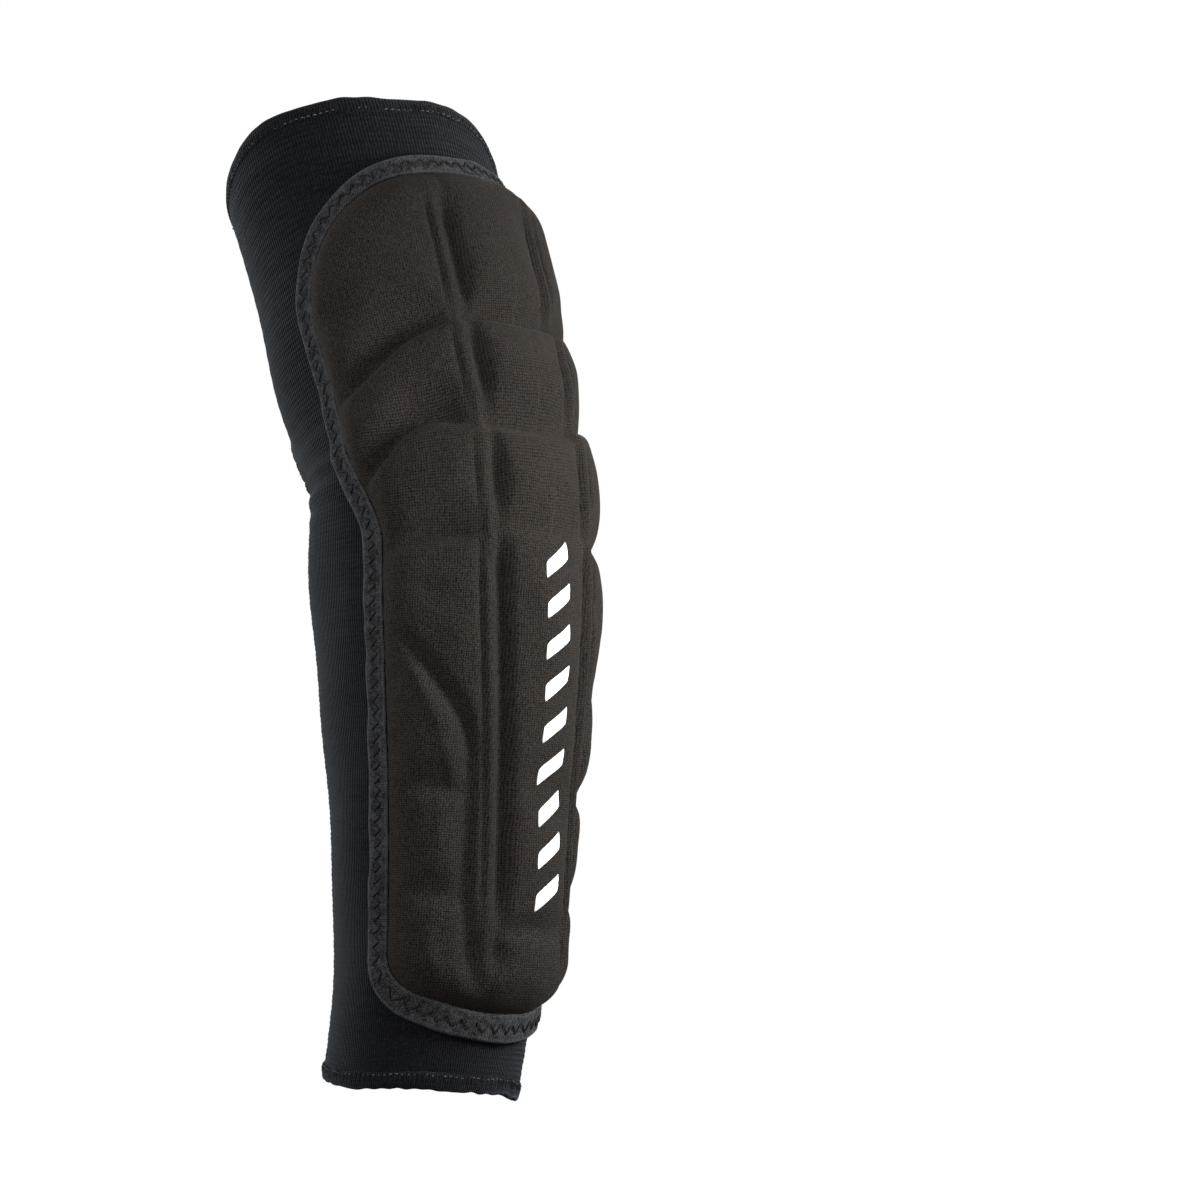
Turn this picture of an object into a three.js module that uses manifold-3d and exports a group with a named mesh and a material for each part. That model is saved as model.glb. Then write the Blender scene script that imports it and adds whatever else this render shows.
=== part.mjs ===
// Forearm and elbow guard: a knitted elastic sleeve, bent at the elbow, that carries a long foam pad.
// The pad is a row of moulded foam blocks between a backing cloth and a cover cloth, bound with tape.
//
// Millimetres, +Z up along the forearm towards the elbow. XZ is the plane that the elbow bends in and
// the guard's mirror plane. The pad faces +X, and the crease of the elbow, with its opening, faces -X.
// The origin is the centre of the wrist opening.
//
// Every surface is placed by three numbers: s, the distance along the arm's centreline from the wrist,
// phi, the angle round the arm from the middle of the pad, and h, the height above the sleeve's face.

import * as THREE from 'three';
import * as BufferGeometryUtils from 'three/addons/utils/BufferGeometryUtils.js';
import Module from 'manifold-3d';

const wasm = await Module();
wasm.setup();

// Driving dimensions, in millimetres and degrees.
const GAP = 0.3; // between pieces that touch
const SLEEVE_LENGTH = 364; // along the centreline, hems included
const SLEEVE_WALL = 1.8;
const SLEEVE_SIDES = 36;
const SLEEVE_RADII = [
  // [s, outer radius]
  [0, 39.4], [14, 38.3], [36, 38.6], [72, 40.2], [110, 42.4], [147, 46.2],
  [185, 49.2], [225, 48.8], [290, 50.2], [345, 52.2], [364, 53.6],
];
const WRIST_LEAN = 12; // the wrist end kicks towards the crease side
const WRIST_LEAN_LENGTH = 25;
const FOREARM_LEAN = 3;
const FOREARM_LEAN_LENGTH = 190;
const ELBOW_BEND = 21; // the bend that the guard is made with
const BEND_START = 195;
const BEND_END = 270;

const HEM_WIDTH = 6.5;
const HEM_PROUD = 1.2;
const HEM_INSET = 0.4; // how far a hem stands inside the sleeve's inner face

const CREASE_S = 254; // centreline station of the crease opening
const CREASE_HALF_WIDTH = 29; // across the arm
const CREASE_HALF_HEIGHT = 20.5;
const CREASE_TAPE = 6;

const ZONE_START = 178; // the cloth between these stations bends with the elbow
const ZONE_END = 292;

const PAD_BOTTOM = 31; // the cover's edge
const PAD_TOP = 338.5;
const PAD_HALF_ANGLE = 66.5; // along the forearm
const PAD_ELBOW_ANGLE = 78; // round the elbow and the upper arm
const PAD_WIDEN_START = 200;
const PAD_WIDEN_END = 242;
const PAD_BOTTOM_CORNER = 30;
const PAD_TOP_CORNER = 52;

const BACKING_LOW = 1.0;
const BACKING_HIGH = 1.8;
const FOAM_LOW = 2.4;
const FOAM_THICKNESS = 9;
const THIN_FOAM_THICKNESS = 7; // the wings' lower blocks
const FOAM_EDGE_SHARE = 0.35; // a block's height at its edge, as a share of its full height
const FOAM_MARGIN = 9; // from the cover's edge to the foam
const COVER_LOW = 12.2;
const COVER_THICKNESS = 1;
const COVER_EDGE_LOW = 2.4;
const COVER_SLOPE = 12; // the width over which the cover falls to its edge

const BINDING_WIDTH = 9.5;
const BINDING_CLEARANCE = 0.9; // from the cover's edge
const BINDING_LOW = 0.8;
const BINDING_HIGH = 3.4;
const THREAD = 0.45; // radius of the sewing threads

const CENTRE_ANGLE = 19.6; // half the centre column
const RIB_ANGLES = [21.4, 31.6];
const WING_ANGLE = 33.4; // inner edge of the thin lower wing blocks
const WIDE_GAP = 3.5; // half the gap between the blocks that move with the elbow
const NARROW_GAP = 2.4;

const PRINT_COUNT = 9;
const PRINT_START = 74;
const PRINT_END = 196;
const PRINT_ANGLE = 2.5;
const PRINT_HALF_WIDTH = 4.5;
const PRINT_BAR = 6.5;
const PRINT_SLANT = 4;
const PRINT_THICKNESS = 0.5;

const rad = THREE.MathUtils.degToRad;
const smooth = (x, low, high) => THREE.MathUtils.smoothstep(x, low, high);

// ---------------------------------------------------------------- materials

const material = (color, roughness) => new THREE.MeshStandardMaterial({ color, roughness, metalness: 0 });
const KNIT = material(0x14171c, 0.95);
const HEM = material(0x171a20, 0.95);
const LINING = material(0x6d6e70, 0.95);
const COVER_CLOTH = material(0x2d2925, 0.85);
const FOAM = material(0x3a3a3c, 0.9);
const TAPE = material(0x22282e, 0.8);
const THREAD_COLOUR = material(0x0c0e11, 0.7);
const PRINT = material(0xf2f2f0, 0.6);

// ---------------------------------------------------------------- the arm's shape

// A smooth curve through [x, y] stations.
function throughStations(stations) {
  const slopes = stations.map((_, i) => {
    const before = stations[Math.max(i - 1, 0)];
    const after = stations[Math.min(i + 1, stations.length - 1)];
    return (after[1] - before[1]) / (after[0] - before[0]);
  });
  return (x) => {
    let i = stations.findIndex((station) => station[0] > x) - 1;
    if (i < 0) i = x < stations[0][0] ? 0 : stations.length - 2;
    const step = stations[i + 1][0] - stations[i][0];
    const t = THREE.MathUtils.clamp((x - stations[i][0]) / step, 0, 1);
    const keep = stations[i][1] * (1 + 2 * t) * (1 - t) ** 2 + stations[i + 1][1] * (3 - 2 * t) * t ** 2;
    return keep + step * t * (1 - t) * (slopes[i] * (1 - t) - slopes[i + 1] * t);
  };
}

const sleeveRadius = throughStations(SLEEVE_RADII);

// The centreline's lean towards -X, in radians.
function lean(s) {
  const wrist = WRIST_LEAN * Math.exp(-s / WRIST_LEAN_LENGTH);
  const forearm = FOREARM_LEAN * (1 - smooth(s, 0, FOREARM_LEAN_LENGTH));
  return rad(ELBOW_BEND * smooth(s, BEND_START, BEND_END) - wrist - forearm);
}

// Centreline points, one for each millimetre of s.
const CENTRELINE = [[0, 0]];
for (let s = 1; s <= SLEEVE_LENGTH; s += 1) {
  const [x, z] = CENTRELINE[s - 1];
  CENTRELINE.push([x - Math.sin(lean(s - 0.5)), z + Math.cos(lean(s - 0.5))]);
}

function centre(s) {
  const i = THREE.MathUtils.clamp(Math.floor(s), 0, SLEEVE_LENGTH - 1);
  const [a, b] = [CENTRELINE[i], CENTRELINE[i + 1]];
  return new THREE.Vector3(a[0] + (b[0] - a[0]) * (s - i), 0, a[1] + (b[1] - a[1]) * (s - i));
}

const along = (s) => new THREE.Vector3(-Math.sin(lean(s)), 0, Math.cos(lean(s)));
const outward = (s) => new THREE.Vector3(Math.cos(lean(s)), 0, Math.sin(lean(s)));
const Y_AXIS = new THREE.Vector3(0, 1, 0);

// A point h above the sleeve's face, phi radians round from the middle of the pad.
function surfacePoint(s, phi, h) {
  const reach = sleeveRadius(s) + h;
  const point = centre(s).addScaledVector(outward(s), reach * Math.cos(phi));
  return point.addScaledVector(Y_AXIS, reach * Math.sin(phi));
}

// The same, from u, the distance round the sleeve from the middle of the pad.
const flatPoint = (u, s, h) => surfacePoint(s, u / sleeveRadius(s), h);

// ---------------------------------------------------------------- solids

// A closed body between two grids of points, outer[i][j] and inner[i][j]. A wrapped grid is closed along i.
function layeredSolid(outer, inner, wrapped = false) {
  const rows = outer.length;
  const columns = outer[0].length;
  const positions = [...outer.flat(), ...inner.flat()].flatMap((p) => [p.x, p.y, p.z]);
  const at = (layer, i, j) => (layer * rows + (i % rows)) * columns + j;
  const triangles = [];
  const quad = (a, b, c, d) => triangles.push(a, b, c, a, c, d);
  for (let i = 0; i < (wrapped ? rows : rows - 1); i += 1) {
    for (let j = 0; j < columns - 1; j += 1) {
      quad(at(0, i, j), at(0, i + 1, j), at(0, i + 1, j + 1), at(0, i, j + 1));
      quad(at(1, i, j), at(1, i, j + 1), at(1, i + 1, j + 1), at(1, i + 1, j));
    }
    quad(at(0, i, 0), at(1, i, 0), at(1, i + 1, 0), at(0, i + 1, 0));
    quad(at(0, i, columns - 1), at(0, i + 1, columns - 1), at(1, i + 1, columns - 1), at(1, i, columns - 1));
  }
  for (let j = 0; j < columns - 1 && !wrapped; j += 1) {
    quad(at(0, 0, j), at(0, 0, j + 1), at(1, 0, j + 1), at(1, 0, j));
    quad(at(0, rows - 1, j), at(1, rows - 1, j), at(1, rows - 1, j + 1), at(0, rows - 1, j + 1));
  }
  return facingOut(positions, triangles);
}

// The triangles' order is turned round where the body's volume comes out negative.
function facingOut(positions, triangles) {
  const corner = (i) => new THREE.Vector3().fromArray(positions, 3 * triangles[i]);
  let volume = 0;
  for (let i = 0; i < triangles.length; i += 3) {
    volume += corner(i).dot(corner(i + 1).cross(corner(i + 2)));
  }
  const geometry = new THREE.BufferGeometry();
  geometry.setAttribute('position', new THREE.Float32BufferAttribute(positions, 3));
  geometry.setIndex(volume > 0 ? triangles : triangles.toReversed());
  return geometry;
}

// A grid of points: point(a, b) for each a and each b.
const grid = (as, bs, point) => as.map((a) => bs.map((b) => point(a, b)));

// Numbers from low to high in equal steps.
const steps = (low, high, count) => Array.from({ length: count + 1 }, (_, i) => low + ((high - low) * i) / count);

function asSolid(geometry) {
  const bare = geometry.clone();
  bare.deleteAttribute('normal');
  bare.deleteAttribute('uv');
  const merged = BufferGeometryUtils.mergeVertices(bare, 1e-4);
  const vertProperties = new Float32Array(merged.attributes.position.array);
  const triVerts = new Uint32Array(merged.index.array);
  return new wasm.Manifold(new wasm.Mesh({ numProp: 3, vertProperties, triVerts }));
}

function asGeometry(solid) {
  const mesh = solid.getMesh();
  const geometry = new THREE.BufferGeometry();
  geometry.setAttribute('position', new THREE.Float32BufferAttribute(mesh.vertProperties, 3));
  geometry.setIndex(new THREE.Uint32BufferAttribute(mesh.triVerts, 1));
  return geometry;
}

const group = new THREE.Group();

function addPiece(name, geometry, pieceMaterial) {
  geometry.computeVertexNormals();
  const piece = new THREE.Mesh(geometry, pieceMaterial.clone());
  piece.name = name;
  group.add(piece);
}

// A thread of four sides that follows path, a list of {u, s} on the surface, h above the sleeve.
function threadSolid(path, h, wrapped = false) {
  const section = [[-1, 1], [1, 1]];
  const layer = (sign) => path.map((_, i) => {
    const side = sideways(path, i, wrapped);
    return section.map(([across, up]) => {
      const u = path[i].u + side.u * across * THREAD;
      const s = path[i].s + side.s * across * THREAD;
      return flatPoint(u, s, h + sign * up * THREAD);
    });
  });
  return layeredSolid(layer(1), layer(-1), wrapped);
}

// The unit vector across a path of {u, s}, at point i.
function sideways(path, i, wrapped) {
  const last = path.length - 1;
  const before = path[i > 0 ? i - 1 : wrapped ? last : 0];
  const after = path[i < last ? i + 1 : wrapped ? 0 : last];
  const length = Math.hypot(after.u - before.u, after.s - before.s);
  return { u: (after.s - before.s) / length, s: -(after.u - before.u) / length };
}

// ---------------------------------------------------------------- sleeve

const AROUND = steps(0, 2 * Math.PI, SLEEVE_SIDES).slice(0, -1);

function sleeveTube(stations) {
  const layer = (h) => grid(AROUND, stations, (phi, s) => surfacePoint(s, phi, h));
  return layeredSolid(layer(0), layer(-SLEEVE_WALL), true);
}

function addHem(name, low, high) {
  const width = high - low;
  const profile = [[0, 0.3], [0.2, 1], [0.8, 1], [1, 0.3]];
  const layer = (height) => grid(AROUND, profile, (phi, [t, share]) => surfacePoint(low + t * width, phi, height(share)));
  const outer = layer((share) => HEM_PROUD * share);
  const inner = layer((share) => -SLEEVE_WALL - HEM_INSET * share);
  addPiece(name, layeredSolid(outer, inner, true), HEM);
}

function addRingThread(name, s) {
  const path = AROUND.map((phi) => ({ u: phi * sleeveRadius(s), s }));
  addPiece(name, threadSolid(path, THREAD + GAP, true), THREAD_COLOUR);
}

// The point of the surface h above the sleeve that lies y across and v up from the crease opening's centre.
function creasePoint(y, v, h) {
  const start = centre(CREASE_S).addScaledVector(along(CREASE_S), v).addScaledVector(Y_AXIS, y);
  const point = (reach) => start.clone().addScaledVector(outward(CREASE_S), -reach);
  const height = (p) => {
    let s = CREASE_S + v;
    for (let i = 0; i < 12; i += 1) {
      s += p.clone().sub(centre(s)).dot(along(s)) * 0.7;
    }
    return p.clone().sub(centre(s)).length() - sleeveRadius(s);
  };
  let [low, high] = [5, 80];
  for (let i = 0; i < 30; i += 1) {
    const middle = (low + high) / 2;
    [low, high] = height(point(middle)) < h ? [middle, high] : [low, middle];
  }
  return point(low);
}

const CREASE_TURN = steps(0, 2 * Math.PI, 28).slice(0, -1);

function creaseRing(widths, h) {
  return CREASE_TURN.map((turn) => widths.map(([width, rise]) => {
    const y = (CREASE_HALF_WIDTH + width) * Math.cos(turn);
    const v = (CREASE_HALF_HEIGHT + width) * Math.sin(turn);
    return creasePoint(y, v, h + rise);
  }));
}

// The opening and the tape round it are cut straight through the sleeve's wall.
function creaseCutter() {
  const outline = new THREE.Shape();
  const reach = CREASE_TAPE + GAP;
  outline.absellipse(0, 0, CREASE_HALF_WIDTH + reach, CREASE_HALF_HEIGHT + reach, 0, 2 * Math.PI, false, 0);
  const cutter = new THREE.ExtrudeGeometry(outline, { depth: 80, bevelEnabled: false, curveSegments: 14 });
  const place = new THREE.Matrix4().makeBasis(
    Y_AXIS, along(CREASE_S), Y_AXIS.clone().cross(along(CREASE_S)),
  );
  const reverse = place.elements[8] * outward(CREASE_S).x > 0;
  cutter.applyMatrix4(place);
  const start = centre(CREASE_S).addScaledVector(outward(CREASE_S), reverse ? -85 : -5);
  cutter.translate(start.x, start.y, start.z);
  return cutter;
}

function addSleeve() {
  const wristEnd = [HEM_WIDTH + GAP, 18, 32];
  const forearm = [...wristEnd, ...steps(50, ZONE_START - GAP / 2, 5)];
  const upperArm = steps(ZONE_END + GAP / 2, SLEEVE_LENGTH - HEM_WIDTH - GAP, 3);
  addPiece('sleeve_forearm', sleeveTube(forearm), KNIT);
  const elbow = asSolid(sleeveTube(steps(ZONE_START + GAP / 2, ZONE_END - GAP / 2, 7)));
  addPiece('sleeve_elbow', asGeometry(elbow.subtract(asSolid(creaseCutter()))), KNIT);
  addPiece('sleeve_upper_arm', sleeveTube(upperArm), KNIT);
  addHem('wrist_hem', 0, HEM_WIDTH);
  addHem('biceps_hem', SLEEVE_LENGTH - HEM_WIDTH, SLEEVE_LENGTH);
  addRingThread('wrist_hem_stitching', HEM_WIDTH + 2);
  addRingThread('biceps_hem_stitching', SLEEVE_LENGTH - HEM_WIDTH - 2);
}

function addCreaseBinding() {
  const outer = creaseRing([[0, -0.8], [1, 0], [CREASE_TAPE - 1, 0], [CREASE_TAPE, -0.8]], 0.9);
  const inner = creaseRing([[0, 0.8], [1, 0], [CREASE_TAPE - 1, 0], [CREASE_TAPE, 0.8]], -2.6);
  addPiece('crease_binding', layeredSolid(outer, inner, true), TAPE);
  const low = 0.9 + GAP;
  const middle = CREASE_TAPE / 2;
  const across = (height) => [[middle - THREAD, height], [middle + THREAD, height]];
  const top = creaseRing(across(THREAD), low + THREAD);
  const bottom = creaseRing(across(-THREAD), low + THREAD);
  addPiece('crease_binding_stitching', layeredSolid(top, bottom, true), THREAD_COLOUR);
}

// ---------------------------------------------------------------- the pad's outline

// How much a round corner of radius r takes off at distance d from the end.
const cornerLoss = (d, r) => (d < r ? r - Math.sqrt(Math.max(r * r - (r - d) ** 2, 0)) : 0);

function padHalfWidth(s) {
  const wide = smooth(s, PAD_WIDEN_START, PAD_WIDEN_END);
  return rad(PAD_HALF_ANGLE + (PAD_ELBOW_ANGLE - PAD_HALF_ANGLE) * wide) * sleeveRadius(s);
}

const edgeAt = (s) =>
  padHalfWidth(s) - cornerLoss(s - PAD_BOTTOM, PAD_BOTTOM_CORNER) - cornerLoss(PAD_TOP - s, PAD_TOP_CORNER);

const bottomAt = (u) =>
  PAD_BOTTOM + cornerLoss(padHalfWidth(PAD_BOTTOM + PAD_BOTTOM_CORNER) - Math.abs(u), PAD_BOTTOM_CORNER);

const topAt = (u) => PAD_TOP - cornerLoss(padHalfWidth(PAD_TOP - PAD_TOP_CORNER) - Math.abs(u), PAD_TOP_CORNER);

// Stations up one side of the pad, closer together round its corners.
function sideStations() {
  const corner = (count) => steps(0, Math.PI / 2, count).map((turn) => 1 - Math.cos(turn));
  const bottom = corner(6).map((t) => PAD_BOTTOM + PAD_BOTTOM_CORNER * t);
  const top = corner(7).map((t) => PAD_TOP - PAD_TOP_CORNER * t).reverse();
  const sides = steps(bottom.at(-1), ZONE_START, 6).slice(1, -1);
  const elbow = steps(ZONE_START, top[0], 8).slice(1, -1);
  return [...bottom, ...sides, ...elbow, ...top];
}

// The cover's edge from the middle of the bottom, up the +Y side, to the middle of the top.
function halfOutline() {
  const stations = sideStations();
  const bottom = steps(0, edgeAt(PAD_BOTTOM), 4).slice(0, -1).map((u) => ({ u, s: PAD_BOTTOM }));
  const top = steps(edgeAt(PAD_TOP), 0, 3).slice(1).map((u) => ({ u, s: PAD_TOP }));
  return [...bottom, ...stations.map((s) => ({ u: edgeAt(s), s })), ...top];
}

// The part of the outline between two stations, offset outward by distance.
function outlineBetween(low, high, distance) {
  const [fromEnd, toEnd] = [low === PAD_BOTTOM, high === PAD_TOP];
  const inside = halfOutline().filter((p) => (fromEnd || p.s > low + 1) && (toEnd || p.s < high - 1));
  if (!fromEnd) inside.unshift({ u: edgeAt(low), s: low });
  if (!toEnd) inside.push({ u: edgeAt(high), s: high });
  const across = inside.map((_, i) => sideways(inside, i, false));
  return inside.map((p, i) => {
    const ends = p.s === PAD_BOTTOM || p.s === PAD_TOP;
    const side = ends && p.u < edgeAt(p.s) ? { u: 0, s: p.s === PAD_TOP ? 1 : -1 } : across[i];
    const level = p.s === low || p.s === high;
    return { u: p.u + side.u * distance, s: level && !ends ? p.s : p.s + side.s * distance };
  });
}

const mirrored = (path) => path.map(({ u, s }) => ({ u: -u, s }));

// The whole path of a binding piece: one side, or both sides joined round the pad's end.
function bindingPath(low, high, side, distance) {
  const half = outlineBetween(low, high, distance);
  if (side === 'bottom') return [...mirrored(half).reverse(), ...half.slice(1)];
  if (side === 'top') return [...half, ...mirrored(half).reverse().slice(1)];
  return side === 'left' ? mirrored(half) : half;
}

// ---------------------------------------------------------------- the pad's layers

// The height of the cover's inner face above the sleeve.
function coverHeight(u, s) {
  const inset = Math.min(edgeAt(s) - Math.abs(u), topAt(u) - s, s - bottomAt(u));
  return COVER_EDGE_LOW + (COVER_LOW - COVER_EDGE_LOW) * smooth(inset, 0, COVER_SLOPE);
}

function padPatch({ low, high, rings, columns }, insets, outer, inner) {
  const nearEnd = [1, 4, 8, COVER_SLOPE, 20, 29];
  const fixed = [low, high];
  if (low === PAD_BOTTOM) fixed.push(...nearEnd.map((d) => PAD_BOTTOM + d));
  if (high === PAD_TOP) fixed.push(...nearEnd.map((d) => PAD_TOP - d));
  const clear = steps(low, high, rings).filter((s) => fixed.every((f) => Math.abs(f - s) > 9));
  const rows = [...fixed, ...clear].sort((a, b) => a - b);
  const across = (s) => {
    const edge = edgeAt(s);
    const near = insets.slice(0, -1);
    const middle = steps(insets.at(-1) - edge, edge - insets.at(-1), columns);
    return [...near.map((d) => d - edge), ...middle, ...near.map((d) => edge - d).reverse()];
  };
  const layer = (height) => rows.map((s) => across(s).map((u) => flatPoint(u, s, height(u, s))));
  return layeredSolid(layer(outer), layer(inner));
}

const PAD_PARTS = [
  { name: 'forearm', low: PAD_BOTTOM, high: ZONE_START - GAP / 2, rings: 6, columns: 12 },
  { name: 'elbow', low: ZONE_START + GAP / 2, high: ZONE_END - GAP / 2, rings: 7, columns: 14 },
  { name: 'upper_arm', low: ZONE_END + GAP / 2, high: PAD_TOP, rings: 3, columns: 14 },
];

function addPadCloth() {
  const top = (u, s) => coverHeight(u, s) + COVER_THICKNESS;
  for (const part of PAD_PARTS) {
    const backing = padPatch(part, [0], () => BACKING_HIGH, () => BACKING_LOW);
    addPiece(`pad_backing_${part.name}`, backing, LINING);
    const cover = padPatch(part, [0, 4, 8, COVER_SLOPE], top, coverHeight);
    addPiece(`pad_cover_${part.name}`, cover, COVER_CLOTH);
  }
}

function addBinding() {
  const parts = [
    ['pad_binding_forearm', PAD_BOTTOM, ZONE_START - GAP / 2, 'bottom'],
    ['pad_binding_elbow_left', ZONE_START + GAP / 2, ZONE_END - GAP / 2, 'left'],
    ['pad_binding_elbow_right', ZONE_START + GAP / 2, ZONE_END - GAP / 2, 'right'],
    ['pad_binding_upper_arm', ZONE_END + GAP / 2, PAD_TOP, 'top'],
  ];
  const profile = [[BINDING_CLEARANCE, 0.6], [2.2, 1], [BINDING_WIDTH - 1.5, 1], [BINDING_WIDTH, 0.45]];
  for (const [name, low, high, side] of parts) {
    const paths = profile.map(([distance]) => bindingPath(low, high, side, distance));
    const layer = (height) =>
      paths[0].map((_, i) => paths.map((path, j) => flatPoint(path[i].u, path[i].s, height(profile[j][1]))));
    const outer = layer((share) => BINDING_LOW + (BINDING_HIGH - BINDING_LOW) * share);
    addPiece(name, layeredSolid(outer, layer(() => BINDING_LOW)), TAPE);
    const seam = bindingPath(low, high, side, BINDING_WIDTH / 2);
    const thread = threadSolid(seam, BINDING_HIGH + THREAD + GAP);
    addPiece(name.replace('binding', 'binding_stitching'), thread, THREAD_COLOUR);
  }
}

// ---------------------------------------------------------------- foam

// Grooves between the rows of blocks, as stations along the arm for an angle from the pad's middle.
const fall = (angle, start, drop, widest) => start - drop * smooth(angle, 15, widest);
const GROOVES = {
  upper: (angle) => fall(angle, 278, 19, 72), // between rows 1 and 2
  elbow: (angle) => fall(angle, 245, 19, 75), // between rows 2 and 3
  lower: (angle) => fall(angle, 211, 4, 66), // between rows 3 and 4
  slanted: (angle) => 125 + (43 * Math.max(angle - RIB_ANGLES[1], 0)) / 30, // between rows 4 and 5
  middle: () => 113,
  last: () => 74,
  bottom: () => 59, // across the centre column only
};

const angleOf = (u, s) => THREE.MathUtils.radToDeg(Math.abs(u) / sleeveRadius(s));
const padFloor = (angle) => bottomAt(rad(angle) * sleeveRadius(PAD_BOTTOM)) + FOAM_MARGIN;
const padCeiling = (angle) => topAt(rad(angle) * sleeveRadius(PAD_TOP)) - FOAM_MARGIN;
const wingEdge = (s) => angleOf(padHalfWidth(s) - FOAM_MARGIN, s);

// A block between two angles and two grooves. from and to give an angle for a station.
function foamBlock(from, to, low, high, thickness, rings = 2) {
  const across = [0, 0.16, 0.5, 0.84, 1];
  const bevel = 0.32 / rings;
  const up = [0, ...steps(bevel, 1 - bevel, rings), 1];
  const place = (a, b) => {
    const middle = (low(from(0)) + high(from(0))) / 2;
    const first = from(middle) + a * (to(middle) - from(middle));
    const s = low(Math.abs(first)) + b * (high(Math.abs(first)) - low(Math.abs(first)));
    return { s, angle: from(s) + a * (to(s) - from(s)) };
  };
  const height = (a, b) => {
    const edge = a === 0 || a === 1 || b === 0 || b === 1;
    return FOAM_LOW + thickness * (edge ? FOAM_EDGE_SHARE : 1);
  };
  const layer = (h) => grid(across, up, (a, b) => {
    const { s, angle } = place(a, b);
    return surfacePoint(s, rad(angle), h(a, b));
  });
  return layeredSolid(layer(height), layer(() => FOAM_LOW));
}

const above = (groove, gap) => (angle) => groove(angle) + gap;
const below = (groove, gap) => (angle) => groove(angle) - gap;

function addWing(side, sign) {
  const { upper, elbow, lower, slanted, middle, last } = GROOVES;
  const wide = RIB_ANGLES[0];
  const rows = [
    [1, wide, above(upper, WIDE_GAP), padCeiling, FOAM_THICKNESS],
    [2, wide, above(elbow, WIDE_GAP), below(upper, WIDE_GAP), FOAM_THICKNESS],
    [3, wide, above(lower, WIDE_GAP), below(elbow, WIDE_GAP), FOAM_THICKNESS],
    [4, wide, above(slanted, NARROW_GAP), below(lower, WIDE_GAP), FOAM_THICKNESS],
    [5, WING_ANGLE, above(middle, NARROW_GAP), below(slanted, NARROW_GAP), THIN_FOAM_THICKNESS],
    [6, WING_ANGLE, above(last, NARROW_GAP), below(middle, NARROW_GAP), THIN_FOAM_THICKNESS],
    [7, WING_ANGLE, padFloor, below(last, NARROW_GAP), THIN_FOAM_THICKNESS],
  ];
  for (const [row, inner, low, high, thickness] of rows) {
    const block = foamBlock(() => sign * inner, (s) => sign * wingEdge(s), low, high, thickness);
    addPiece(`foam_wing_${side}_${row}`, block, FOAM);
  }
  const [from, to] = RIB_ANGLES;
  const ribTop = below(slanted, NARROW_GAP);
  const rib = foamBlock(() => sign * from, () => sign * to, padFloor, ribTop, FOAM_THICKNESS, 4);
  addPiece(`foam_rib_${side}`, rib, FOAM);
}

function addCentreFoam() {
  const { upper, elbow, lower, bottom } = GROOVES;
  const rows = [
    [1, above(upper, WIDE_GAP), padCeiling, 3],
    [2, above(elbow, WIDE_GAP), below(upper, WIDE_GAP), 2],
    [3, above(lower, WIDE_GAP), below(elbow, WIDE_GAP), 2],
    [4, above(bottom, NARROW_GAP), below(lower, WIDE_GAP), 8],
    [5, padFloor, below(bottom, NARROW_GAP), 2],
  ];
  for (const [row, low, high, rings] of rows) {
    const block = foamBlock(() => -CENTRE_ANGLE, () => CENTRE_ANGLE, low, high, FOAM_THICKNESS, rings);
    addPiece(`foam_centre_${row}`, block, FOAM);
  }
}

// ---------------------------------------------------------------- print

// Plain slanted bars in a column up the middle of the pad.
function addPrint() {
  const low = COVER_LOW + COVER_THICKNESS + 2 * GAP;
  steps(PRINT_START, PRINT_END, PRINT_COUNT - 1).forEach((s, i) => {
    const layer = (h) => grid([-1, 1], [-1, 1], (a, b) => {
      const station = s + b * PRINT_BAR / 2 + a * PRINT_SLANT;
      return flatPoint(rad(PRINT_ANGLE) * sleeveRadius(s) + a * PRINT_HALF_WIDTH, station, h);
    });
    addPiece(`print_bar_${i + 1}`, layeredSolid(layer(low + PRINT_THICKNESS), layer(low)), PRINT);
  });
}

addSleeve();
addCreaseBinding();
addPadCloth();
addBinding();
addWing('left', -1);
addWing('right', 1);
addCentreFoam();
addPrint();

export default group;
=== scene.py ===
# Forearm and elbow guard: the looks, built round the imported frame.
#
# Shapes are worked out in millimetres and handed to Blender in metres. As in the CAD model, a point is
# placed by s, the distance along the arm from the wrist, phi, the angle round the arm from the middle of
# the pad, and h, the height above the sleeve's face. u is phi times the sleeve's radius.
import math

import bmesh
import bpy
import numpy as np
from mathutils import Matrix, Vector


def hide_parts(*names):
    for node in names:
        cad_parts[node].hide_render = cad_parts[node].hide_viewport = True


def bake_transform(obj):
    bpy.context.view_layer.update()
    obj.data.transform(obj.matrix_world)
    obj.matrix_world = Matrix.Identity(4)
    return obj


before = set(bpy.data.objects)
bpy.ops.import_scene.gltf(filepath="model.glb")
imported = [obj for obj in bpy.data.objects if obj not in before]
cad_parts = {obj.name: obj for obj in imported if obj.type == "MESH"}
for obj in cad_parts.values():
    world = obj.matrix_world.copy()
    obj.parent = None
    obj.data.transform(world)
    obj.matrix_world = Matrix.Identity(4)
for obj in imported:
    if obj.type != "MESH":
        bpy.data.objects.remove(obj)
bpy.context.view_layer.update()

MM = 0.001

# ---- driving dimensions, as in the CAD model

SLEEVE_LENGTH = 364
SLEEVE_WALL = 1.8
SLEEVE_RADII = [
    (0, 39.4), (14, 38.3), (36, 38.6), (72, 40.2), (110, 42.4), (147, 46.2),
    (185, 49.2), (225, 48.8), (290, 50.2), (345, 52.2), (364, 53.6),
]
WRIST_LEAN, WRIST_LEAN_LENGTH = 12, 25
FOREARM_LEAN, FOREARM_LEAN_LENGTH = 3, 190
ELBOW_BEND, BEND_START, BEND_END = 21, 195, 270
HEM_WIDTH = 6.5

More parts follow.
